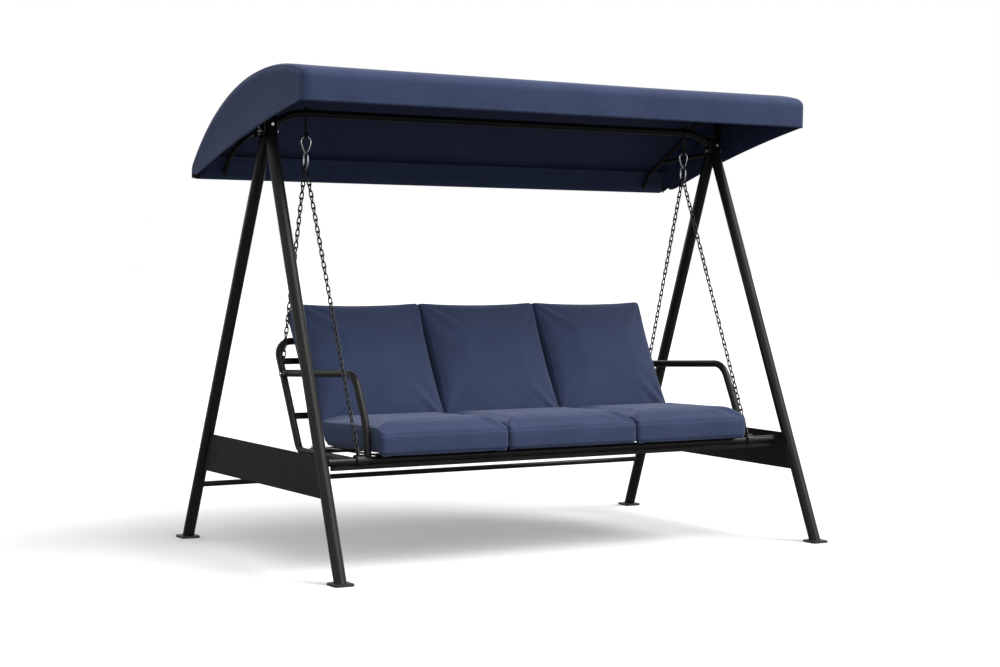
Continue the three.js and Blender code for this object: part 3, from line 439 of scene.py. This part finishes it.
def chain(name, front):
    """A row of twisted links, each a quarter turn from the last, crosswise at the fittings."""
    bottom, top, axis = chain_ends(name, front)
    length = (top - bottom).length
    pairs = round(length / LINK_PITCH / 2)
    count = 2 * pairs + 1 if front else 2 * pairs
    pitch = length / count
    first = 0 if front else 1
    turn_up = Vector((0, 0, 1)).rotation_difference(axis)
    rings = [[twisted(p, pitch) for p in ring] for ring in link_rings(pitch)]
    points, faces = [], []
    for i in range(count):
        turned = Quaternion((0, 0, 1), math.pi / 2 * (i + first))
        centre = bottom + axis * pitch * (i + 0.5)
        base = len(points)
        for ring in rings:
            points.extend(centre + turn_up @ (turned @ p) for p in ring)
        for a in range(len(rings)):
            b = (a + 1) % len(rings)
            for j in range(LINK_SIDES):
                k = (j + 1) % LINK_SIDES
                corners = ((a, j), (b, j), (b, k), (a, k))
                faces.append([base + ring * LINK_SIDES + step for ring, step in corners])
    made = mesh_from(f"{name}_links", points, faces)
    arrive(made, "seat", CHAIN_BLACK, "chain_steel", name)


for side in SIDES:
    chain(f"chain_front_{side}", front=True)
    chain(f"chain_rear_{side}", front=False)

# --------------------------------------------------------------------------------------------
# Cushions
# --------------------------------------------------------------------------------------------
VOXEL = 0.006
CELL = 0.012  # spacing of a cushion's points before it is remeshed
FEWEST_CELLS = 6
ON_FACE = 0.999  # a unit-box coordinate past this lies on the box's face
DOME_POWER = 0.55  # the smaller, the nearer to its sides a cushion's crown reaches
TRAVEL = 0.012  # the furthest that the simulation may move a point
SIMULATION_STEPS = 20
PIN_WIDTH = 0.006  # how near to a seam the simulation holds the cloth
SEAM_WIDTH = 0.005
SEAM_DEPTH = 0.0022
OFF_SEAM = 1.0  # added to a distance from a seam where the seam doesn't run

SEAT_SLOPE = math.radians(2)  # down to the rear
BACK_LEAN = math.radians(26.85)  # from upright
SEAT_OVERHANG = 0.055  # how much of a seat cushion's front sags over the front rail
SEAT_DROOP = 0.018
SEAT_CENTRE = Vector((0, 0.213, 0.054))  # from the CAD solid's low front edge
BACK_SHIFT = Vector((0.01, 0.002, 0.008))  # from the middle of the CAD solid's box


class CushionShape(NamedTuple):
    """A cushion's sizes before it is swollen."""

    wider: float  # than its CAD solid
    deep: float
    thick: float
    edge: float  # rounding between its faces and its sides
    plan: float  # rounding of its outline's corners
    crown: float
    back_crown: float
    pinch: float  # how far its sides pull in between its corners
    seam_inset: float  # from its faces
    seam_margin: float  # how far in from its sides a seam may run


SEAT_SHAPE = CushionShape(
    wider=0.004,
    deep=0.424,
    thick=0.086,
    edge=0.013,
    plan=0.018,
    crown=0.008,
    back_crown=0.0,
    pinch=0.003,
    seam_inset=0.011,
    seam_margin=0.03,
)
BACK_SHAPE = CushionShape(
    wider=0.01,
    deep=0.49,
    thick=0.108,
    edge=0.02,
    plan=0.014,
    crown=0.03,
    back_crown=0.004,
    pinch=0.01,
    seam_inset=0.012,
    seam_margin=0.035,
)


def box_grid(columns, rows, layers):
    """A closed box from -1 to 1 with its faces cut into a grid: (points, faces)."""
    index, points, faces = {}, [], []

    def at(i, j, k):
        key = (i, j, k)
        if key not in index:
            index[key] = len(points)
            points.append(Vector((2 * i / columns - 1, 2 * j / rows - 1, 2 * k / layers - 1)))
        return index[key]

    for k in (0, layers):
        for i in range(columns):
            for j in range(rows):
                quad = [at(i, j, k), at(i + 1, j, k), at(i + 1, j + 1, k), at(i, j + 1, k)]
                faces.append(quad if k else quad[::-1])
    for j in (0, rows):
        for i in range(columns):
            for k in range(layers):
                quad = [at(i, j, k), at(i + 1, j, k), at(i + 1, j, k + 1), at(i, j, k + 1)]
                faces.append(quad[::-1] if j else quad)
    for i in (0, columns):
        for j in range(rows):
            for k in range(layers):
                quad = [at(i, j, k), at(i, j + 1, k), at(i, j + 1, k + 1), at(i, j, k + 1)]
                faces.append(quad if i else quad[::-1])
    return points, faces


def cushion_point(u, half, shape):
    """Maps a point of the unit box to a crowned cushion whose sides pull in between its corners."""
    x, y, z = (math.sin(v * math.pi / 2) for v in u)
    reach_x = half.x - shape.pinch * (1 - y * y)
    reach_y = half.y - shape.pinch * (1 - x * x)
    flat = Vector((x * reach_x, y * reach_y))
    inner = Vector(
        (
            max(-reach_x + shape.plan, min(reach_x - shape.plan, flat.x)),
            max(-reach_y + shape.plan, min(reach_y - shape.plan, flat.y)),
        )
    )
    out = flat - inner
    if out.length > 0:
        stretch = max(abs(out.x), abs(out.y)) / out.length
        flat = inner + out * stretch
    side = max(0.0, abs(z * half.z) - (half.z - shape.edge)) / shape.edge
    draw = shape.edge * (1 - math.sqrt(max(0.0, 1 - side * side)))
    if max(abs(u.x), abs(u.y)) > ON_FACE or side >= 1:
        shrink = Vector(((reach_x - draw) / reach_x, (reach_y - draw) / reach_y))
        flat = Vector((flat.x * shrink.x, flat.y * shrink.y))
    dome = ((1 - u.x**2) * (1 - u.y**2)) ** DOME_POWER if abs(u.z) > ON_FACE else 0
    lift = shape.crown if z > 0 else -shape.back_crown
    return Vector((flat.x, flat.y, z * half.z + lift * dome))


def cushion_form(name, size, shape):
    """A cushion about the origin: size across, deep and thick before its crowns."""
    cuts = [max(FEWEST_CELLS, round(s / CELL)) for s in size]
    points, faces = box_grid(*cuts)
    half = size / 2
    return mesh_from(name, [cushion_point(p, half, shape) for p in points], faces)


def remesh(obj):
    """Gives a mesh even cells, which cloth swells evenly."""
    modifier = obj.modifiers.new("remesh", "REMESH")
    modifier.mode = "VOXEL"
    modifier.voxel_size = VOXEL
    modifier.use_smooth_shade = True
    apply_modifiers(obj)


def puff(obj, pinned):
    """Swells a cushion by cloth simulation. Points where pinned(point) holds stay put."""
    start = [v.co.copy() for v in obj.data.vertices]
    group = obj.vertex_groups.new(name="pin")
    group.add([i for i, p in enumerate(start) if pinned(p)], 1.0, "REPLACE")
    cloth = obj.modifiers.new("cloth", "CLOTH")
    settings = cloth.settings
    settings.quality = 5
    settings.mass = 0.3
    settings.use_pressure = True
    settings.uniform_pressure_force = 4.0
    settings.effector_weights.gravity = 0
    settings.tension_stiffness = 12
    settings.compression_stiffness = 12
    settings.shear_stiffness = 4
    settings.bending_stiffness = 2.5
    settings.vertex_group_mass = "pin"
    cloth.collision_settings.use_collision = False
    scene = bpy.context.scene
    for frame_number in range(1, SIMULATION_STEPS + 1):
        scene.frame_set(frame_number)
    graph = bpy.context.evaluated_depsgraph_get()
    moved = [v.co.copy() for v in obj.evaluated_get(graph).data.vertices]
    obj.modifiers.clear()
    scene.frame_set(1)
    for vertex, was, now in zip(obj.data.vertices, start, moved):
        step = now - was
        vertex.co = was + step * min(1.0, TRAVEL / max(step.length, 1e-9))
    obj.data.update()


def subdivide(obj):
    """Halves a mesh's cells and smooths them."""
    modifier = obj.modifiers.new("subdivide", "SUBSURF")
    modifier.levels = 1
    modifier.render_levels = 1
    apply_modifiers(obj)


def groove(obj, lines, width, depth):
    """Sinks a seam: each line is a function that gives a point's distance from it."""
    mesh = obj.data
    normals = [v.normal.copy() for v in mesh.vertices]
    for vertex, normal in zip(mesh.vertices, normals):
        near = min(line(vertex.co) for line in lines)
        if near < width:
            vertex.co -= normal * depth * 0.5 * (1 + math.cos(math.pi * near / width))
    mesh.update()


def seam_pair(size, shape):
    """Distances from the two seams round a cushion's sides, a little in from its faces."""

    def distance_from(face):
        def distance(p):
            margin = shape.seam_margin
            on_side = abs(p.x) > size.x / 2 - margin or abs(p.y) > size.y / 2 - margin
            return abs(p.z - face * (shape.thick / 2 - shape.seam_inset)) + (0 if on_side else OFF_SEAM)

        return distance

    return [distance_from(1), distance_from(-1)]


def relax(obj):
    """Softens the creases that the simulation leaves."""
    modifier = obj.modifiers.new("smooth", "SMOOTH")
    modifier.factor = 0.5
    modifier.iterations = 6
    apply_modifiers(obj)


def swollen_cushion(node, shape):
    """A cushion's finished cover, lying about the origin, and its size before it was swollen."""
    low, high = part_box(node)
    size = Vector((high.x - low.x + shape.wider, shape.deep, shape.thick))
    form = cushion_form(f"{node}_cover", size, shape)
    seams = seam_pair(size, shape)
    remesh(form)
    puff(form, lambda p: min(line(p) for line in seams) < PIN_WIDTH)
    relax(form)
    subdivide(form)
    groove(form, seams, SEAM_WIDTH, SEAM_DEPTH)
    return form, size


def seat_cushion(which):
    """A box cushion on the seat deck, its front edge sagging over the front rail."""
    node = f"seat_cushion_{which}"
    form, size = swollen_cushion(node, SEAT_SHAPE)
    for vertex in form.data.vertices:
        back = vertex.co.y / size.y + 0.5
        overhang = max(0.0, 1 - back * size.y / SEAT_OVERHANG)
        vertex.co.y += math.tan(BACK_LEAN) * back * vertex.co.z
        vertex.co.z -= SEAT_DROOP * overhang * (3 - 2 * overhang) * overhang
    low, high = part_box(node)
    centre = Vector(((low.x + high.x) / 2, low.y, low.z)) + SEAT_CENTRE
    form.data.transform(Matrix.Translation(centre) @ Matrix.Rotation(-SEAT_SLOPE, 4, "X"))
    form.data.update()
    arrive(form, "seat", CUSHION_NAVY, "cushion_fabric", node)


def back_cushion(which):
    """A pillow cushion that leans on the back deck."""
    node = f"back_cushion_{which}"
    form, _ = swollen_cushion(node, BACK_SHAPE)
    centre = middle(node) + BACK_SHIFT
    form.data.transform(Matrix.Translation(centre) @ Matrix.Rotation(math.pi / 2 - BACK_LEAN, 4, "X"))
    form.data.update()
    arrive(form, "seat", CUSHION_NAVY, "cushion_fabric", node)


for seat in SEATS:
    seat_cushion(seat)
    back_cushion(seat)

# --------------------------------------------------------------------------------------------
# Canopy cover
# --------------------------------------------------------------------------------------------
ROOF_RADIUS = 0.83
ROOF_CREST = 0.207  # from the valance's face back to the roof's highest line
VALANCE_RISE = 0.241  # from the flap's hem up to the valance's
POCKET_HEIGHT = 0.084
COVER_LOW, COVER_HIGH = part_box("canopy_cover")
ROOF_CENTRE = Vector((0, COVER_LOW.y + ROOF_CREST, COVER_HIGH.z - ROOF_RADIUS))
VALANCE_BOTTOM = COVER_LOW.z + VALANCE_RISE
CORNER = 0.03  # rounding where the roof turns down into an end panel
BROW = 0.034  # rounding where the roof turns down into the valance
HEEL = 0.06  # rounding where the roof turns down into the rear flap
HEEL_RISE = 0.022  # how far the hem turns up round the rear corners
FABRIC = 0.0016
HEM = 0.022
POCKET_TOP = COVER_LOW.z + POCKET_HEIGHT
RIDGE_Y = middle("canopy_ridge_bar").y
RIPPLES = (2.1, 3.3)  # per metre, across and back
RIPPLE_SEED = 4.7
VALANCE_ROWS = 10
BROW_ROWS = 8
ROOF_ROWS = 44
HEEL_ROWS = 6
FLAP_ROWS = 5
ROOF_COLUMNS = 96
TURN_STEPS = 6  # of the rounding into an end panel
PANEL_ROWS = 14
EDGE_BOW = 0.016  # how far an end panel's lower edge bows up
HEEL_START = 0.92  # share of the lower edge after which it turns up to the rear corner
PANEL_DIP = 0.006  # how far an end panel's middle sinks in
ROOF_SAG = 0.005
ROOF_RIPPLE = 0.002
PANEL_DEPTH = 0.25  # of the flat end panel that is cut with the roof
POINTS_MEET = 0.0004  # points nearer than this are one
TRIM_GAP = 0.0002  # from the cloth's outer face to what is sewn on it
WELT_RADIUS = 0.0017
POCKET_COLUMNS = 60
POCKET_END_GAP = 0.002
POCKET_SEAM_STEPS = 24
POCKET_SEAM_RADIUS = 0.0026
POCKET_SEAM_INSET = 0.002
STITCH_SPACING = 0.0065
STITCH_LENGTH = 0.004
STITCH_RADIUS = 0.0004
STITCHED_SIXTIETHS = range(3, 58)  # of an end panel's lower edge
STITCH_RINGS = ((-1, 0.3), (-0.6, 1), (0.6, 1), (1, 0.3))  # shares of the half length and the radius
STITCH_SECTION = ((1, 0), (0, 1), (-1, 0), (0, -1))


def arc(centre, radius, first, last, steps):
    """Points of a circle in the canopy's side view, without the first."""
    angles = (first + (last - first) * i / steps for i in range(1, steps + 1))
    return [centre + radius * Vector((0, math.cos(a), math.sin(a))) for a in angles]


def rounded_down(y, radius, side):
    """Centre and roof angle of a rounding inside the roof's circle and a vertical face at y."""
    centre_y = y - side * radius
    run = centre_y - ROOF_CENTRE.y
    centre = Vector((0, centre_y, ROOF_CENTRE.z + math.sqrt((ROOF_RADIUS - radius) ** 2 - run**2)))
    return centre, math.atan2(centre.z - ROOF_CENTRE.z, run)


def cover_profile():
    """The canopy from the side, front hem to rear hem, as (point, inward direction)."""
    front, rear = COVER_LOW.y, COVER_HIGH.y
    brow, brow_angle = rounded_down(front, BROW, -1)
    heel, heel_angle = rounded_down(rear, HEEL, 1)
    hem = Vector((0, front, VALANCE_BOTTOM))
    valance_top = Vector((0, front, brow.z))
    points = [hem.lerp(valance_top, i / VALANCE_ROWS) for i in range(VALANCE_ROWS + 1)]
    points += arc(brow, BROW, math.pi, brow_angle, BROW_ROWS)
    points += arc(ROOF_CENTRE, ROOF_RADIUS, brow_angle, heel_angle, ROOF_ROWS)
    points += arc(heel, HEEL, heel_angle, 0, HEEL_ROWS)
    flap_top = points[-1]
    flap_hem = Vector((0, rear, COVER_LOW.z))
    points += [flap_top.lerp(flap_hem, i / FLAP_ROWS) for i in range(1, FLAP_ROWS + 1)]
    result = []
    for i, point in enumerate(points):
        along = points[min(i + 1, len(points) - 1)] - points[max(i - 1, 0)]
        result.append((point, Vector((0, along.z, -along.y)).normalized()))
    return result


def lower_edge(share):
    """A point of an end panel's lower edge, from the front (0) to the rear (1), a little bowed up."""
    front = Vector((0, COVER_LOW.y + CORNER, VALANCE_BOTTOM))
    rear = Vector((0, COVER_HIGH.y - CORNER, COVER_LOW.z))
    bow = EDGE_BOW * 4 * share * (1 - share)
    turned_up = min(1.0, max(0.0, (share - HEEL_START) / (1 - HEEL_START)))
    heel = HEEL_RISE * (1 - math.sqrt(1 - turned_up**2))
    return front.lerp(rear, share) + Vector((0, 0, bow + heel))


def sag(x, point):
    """How far the roof's cloth sinks between its bars, in metres."""
    y = point.y
    if y < RIDGE_Y:
        share = (y - COVER_LOW.y) / (RIDGE_Y - COVER_LOW.y)
    else:
        share = (y - RIDGE_Y) / (COVER_HIGH.y - RIDGE_Y)
    across = math.cos(x / COVER_HIGH.x * math.pi / 2) ** 0.5 if abs(x) < COVER_HIGH.x else 0
    ripple = noise.noise(Vector((x * RIPPLES[0], y * RIPPLES[1], RIPPLE_SEED)))
    return (ROOF_SAG + ROOF_RIPPLE * ripple) * math.sin(math.pi * max(0.0, min(1.0, share))) * across


def cover_columns():
    """Positions across the canopy: (x, share of the quarter turn into an end panel)."""
    flat = COVER_HIGH.x - CORNER
    columns = [(-flat + 2 * flat * i / ROOF_COLUMNS, 0.0) for i in range(ROOF_COLUMNS + 1)]
    turn = [(flat, i / TURN_STEPS) for i in range(1, TURN_STEPS + 1)]
    left = [(-x, s) for x, s in turn[::-1]]
    return left + columns + turn


def sheet_faces(columns, rows):
    """The faces of a sheet whose points are listed column by column."""
    starts = [i * rows + j for i in range(columns - 1) for j in range(rows - 1)]
    return [(a, a + 1, a + rows + 1, a + rows) for a in starts]


def roof_points(profile):
    """The valance, roof and flap, rounded down towards both end panels."""
    points = []
    for x, turn in cover_columns():
        side = 1 if x > 0 else -1
        angle = turn * math.pi / 2
        for point, inward in profile:
            place = point + inward * (CORNER * (1 - math.cos(angle)) if turn else sag(x, point))
            low = max(0.0, 1 - (point.z - COVER_LOW.z) / HEEL)
            rise = HEEL_RISE * (1 - math.cos(angle)) * low if point.y > RIDGE_Y else 0
            points.append(Vector((x + side * CORNER * math.sin(angle), place.y, place.z + rise)))
    return points


def add_end_panel(points, faces, rim, side):
    """Hangs an end panel from the roof's rim to its lower edge, its middle sunk in a little."""
    steps = [(points[b] - points[a]).length for a, b in zip(rim, rim[1:])]
    travelled = list(accumulate(steps, initial=0.0))
    shares = [length / travelled[-1] for length in travelled]
    previous = rim
    for layer in range(1, PANEL_ROWS + 1):
        down = layer / PANEL_ROWS
        current = []
        for vertex, share in zip(rim, shares):
            edge = points[vertex]
            low = lower_edge(share)
            place = edge.lerp(Vector((edge.x, low.y, low.z)), down)
            place.x -= side * PANEL_DIP * math.sin(math.pi * down) * math.sin(math.pi * share)
            current.append(len(points))
            points.append(place)
        for j in range(len(rim) - 1):
            quad = (previous[j], previous[j + 1], current[j + 1], current[j])
            faces.append(quad if side < 0 else quad[::-1])
        previous = current


def canopy_cover():
    """The cover: valance, roof and flap with an end panel at each side, as one sheet."""
    profile = cover_profile()
    rows = len(profile)
    points = roof_points(profile)
    columns = len(points) // rows
    faces = sheet_faces(columns, rows)
    for side, column in ((-1, 0), (1, columns - 1)):
        add_end_panel(points, faces, [column * rows + j for j in range(rows)], side)
    made = mesh_from("canopy_cover_cloth", points, faces)
    bm = bmesh.new()
    bm.from_mesh(made.data)
    bmesh.ops.remove_doubles(bm, verts=bm.verts, dist=POINTS_MEET)
    bmesh.ops.recalc_face_normals(bm, faces=bm.faces)
    bm.to_mesh(made.data)
    bm.free()
    shell = made.modifiers.new("thickness", "SOLIDIFY")
    shell.thickness = FABRIC
    shell.offset = -1
    arrive(made, "canopy", CANOPY_NAVY, "canopy_fabric", "canopy_cover")
    return made


def skin_y(z):
    """Where the rear flap's outer face stands at a height."""
    centre, _ = rounded_down(COVER_HIGH.y, HEEL, 1)
    over = max(0.0, z - centre.z)
    return centre.y + math.sqrt(HEEL**2 - over**2)


def canopy_pocket():
    """The doubled band inside the rear flap, with the rear bar in its hem and a seam along its top, the seam
    coloured darker as painted shade.
    """
    bar_z = middle("canopy_rear_bar").z
    stand_off = (  # height and distance in from the flap, down round the bar
        (POCKET_TOP, 0.003),
        (bar_z + 0.05, 0.006),
        (bar_z + 0.022, 0.018),
        (bar_z + 0.008, 0.0255),
        (bar_z, 0.0265),
        (bar_z - 0.008, 0.024),
        (bar_z - 0.0125, 0.014),
        (COVER_LOW.z + 0.001, 0.002),
    )
    outline = [Vector((0, skin_y(z) - reach, z)) for z, reach in stand_off]
    half = COVER_HIGH.x - CORNER - POCKET_END_GAP
    across = [Vector((-half + 2 * half * i / POCKET_COLUMNS, 0, 0)) for i in range(POCKET_COLUMNS + 1)]
    points = [x + p for x in across for p in outline]
    faces = [face[::-1] for face in sheet_faces(len(across), len(outline))]
    made = mesh_from("canopy_rear_pocket", points, faces)
    shell = made.modifiers.new("thickness", "SOLIDIFY")
    shell.thickness = FABRIC
    arrive(made, "canopy", CANOPY_NAVY, "canopy_fabric")
    top = outline[0] - Vector((0, POCKET_SEAM_INSET, 0))
    left, right = top + Vector((-half, 0, 0)), top + Vector((half, 0, 0))
    seam_path = [left.lerp(right, i / POCKET_SEAM_STEPS) for i in range(POCKET_SEAM_STEPS + 1)]
    # the seam tube carries the darker navy, painted shade along the pocket's top
    seam = tube_mesh("canopy_pocket_shade_seam", seam_path, POCKET_SEAM_RADIUS)
    return made, arrive(seam, "canopy", CANOPY_SEAM_SHADE, "canopy_fabric")


def add_stitch(points, faces, centre, along):
    """Adds one thread stitch, tapered at its ends."""
    side = along.orthogonal().normalized()
    up = along.cross(side)
    base = len(points)
    sides = len(STITCH_SECTION)
    for lengthwise, girth in STITCH_RINGS:
        for s, u in STITCH_SECTION:
            offset = (side * s + up * u) * STITCH_RADIUS * girth
            points.append(centre + along * lengthwise * STITCH_LENGTH / 2 + offset)
    last = len(points) - sides
    for a in range(base, last, sides):
        for j in range(sides):
            k = (j + 1) % sides
            faces.append((a + j, a + k, a + sides + k, a + sides + j))
    faces.append(tuple(range(base, base + sides))[::-1])
    faces.append(tuple(range(last, last + sides)))


def stitches(name, path):
    """A row of small thread stitches along points."""
    points, faces = [], []
    carried = 0.0
    for a, b in zip(path, path[1:]):
        span = (b - a).length
        along = (b - a).normalized()
        at = STITCH_SPACING - carried
        while at < span:
            add_stitch(points, faces, a + along * at, along)
            at += STITCH_SPACING
        carried = span - (at - STITCH_SPACING)
    made = mesh_from(name, points, faces)
    return arrive(made, "canopy", CANOPY_NAVY, "canopy_fabric")


def canopy_edges():
    """A welt round each end panel, and stitched hems along the end panels and the valance."""
    half = COVER_HIGH.x
    depth = CORNER * (1 - math.cos(math.pi / 4)) + TRIM_GAP
    reach = half - CORNER + CORNER * math.sin(math.pi / 4)
    made = []
    for name, side in SIDES.items():
        path = [Vector((side * reach, 0, 0)) + point + inward * depth for point, inward in cover_profile()]
        welt = tube_mesh(f"canopy_seam_{name}", path, WELT_RADIUS)
        made.append(arrive(welt, "canopy", CANOPY_NAVY, "canopy_fabric"))
        hem = Vector((side * (half + TRIM_GAP), 0, HEM))
        edge = [lower_edge(i / 60) + hem for i in STITCHED_SIXTIETHS]
        made.append(stitches(f"canopy_end_stitches_{name}", edge))
    end = half - CORNER
    front = [Vector((x, COVER_LOW.y - TRIM_GAP, VALANCE_BOTTOM + HEM)) for x in (-end, end)]
    made.append(stitches("canopy_valance_stitches", front))
    return made


cover = canopy_cover()
cover_trim = [*canopy_pocket(), *canopy_edges()]


def cover_cut():
    """The flat cut of the cover: (width, length, area) of its roof piece with both end panels."""
    profile = cover_profile()
    length = sum((b[0] - a[0]).length for a, b in zip(profile, profile[1:]))
    across = 2 * COVER_HIGH.x
    panel = 0.0
    for (a, _), (b, _) in zip(profile, profile[1:]):
        share_a = (a.y - COVER_LOW.y) / (COVER_HIGH.y - COVER_LOW.y)
        share_b = (b.y - COVER_LOW.y) / (COVER_HIGH.y - COVER_LOW.y)
        tall = (a.z - lower_edge(share_a).z + b.z - lower_edge(share_b).z) / 2
        panel += abs(b.y - a.y) * max(0.0, tall)
    drop = 2 * PANEL_DEPTH
    return across + drop, length, across * length + 2 * panel


cut_width, cut_length, cut_area = cover_cut()

# --------------------------------------------------------------------------------------------
# Floor, light and background
# --------------------------------------------------------------------------------------------
FLOOR_REACH = 40.0
WORLD_STOPS = (  # height, from straight down (0) to straight up (1), and brightness
    (0.0, 0.17),
    (0.45, 0.19),
    (0.484, 1.0),
    (0.68, 1.0),
    (0.8, 0.75),
    (1.0, 0.7),
)


def make_floor():
    """A white floor that bounces no light, as in a picture cut out on white."""
    corners = [Vector((x * FLOOR_REACH, y * FLOOR_REACH, 0)) for x, y in ((-1, -1), (1, -1), (1, 1), (-1, 1))]
    floor = mesh_from("floor", corners, [(0, 1, 2, 3)], smooth=False)
    n = Nodes("floor")
    n.drive("Base Color", n.mix(n.patches(scale=0.6, detail=2), (0.86, 0.86, 0.86), (0.88, 0.88, 0.88)))
    n.fix(Roughness=0.9, Specular_IOR_Level=0.1)
    floor.data.materials.append(n.material)
    floor.visible_diffuse = False
    floor.visible_glossy = False


def make_world():
    """A white studio: bright at the horizon and above, dim underneath."""
    world = bpy.data.worlds.new("studio")
    world.use_nodes = True
    tree = world.node_tree
    place = tree.nodes.new("ShaderNodeTexCoord")
    split = tree.nodes.new("ShaderNodeSeparateXYZ")
    tree.links.new(place.outputs["Generated"], split.inputs["Vector"])
    height = tree.nodes.new("ShaderNodeValToRGB")
    ramp = height.color_ramp
    while len(ramp.elements) < len(WORLD_STOPS):
        ramp.elements.new(0.5)
    for element, (at, value) in zip(ramp.elements, WORLD_STOPS):
        element.position = at
        element.color = (value, value, value, 1)
    scale = tree.nodes.new("ShaderNodeMapRange")
    scale.inputs["From Min"].default_value = -1
    tree.links.new(split.outputs["Z"], scale.inputs["Value"])
    tree.links.new(scale.outputs["Result"], height.inputs["Fac"])
    tree.links.new(height.outputs["Color"], tree.nodes["Background"].inputs["Color"])
    bpy.context.scene.world = world


def sun(name, direction, power, spread):
    """A distant light: spread is the width of its disc in degrees."""
    data = bpy.data.lights.new(name, "SUN")
    data.energy = power
    data.angle = math.radians(spread)
    light = bpy.data.objects.new(name, data)
    light.rotation_euler = Vector(direction).to_track_quat("-Z", "Y").to_euler()
    bpy.context.scene.collection.objects.link(light)


def make_light():
    """The studio, with a broad light from above and a softer one from the front."""
    make_world()
    sun("key", direction=(-0.62, 0.42, -1.0), power=1.7, spread=30)
    sun("front", direction=(-0.3, 0.66, -0.66), power=1.75, spread=50)
    bpy.context.scene.view_settings.view_transform = "Standard"


make_floor()
make_light()
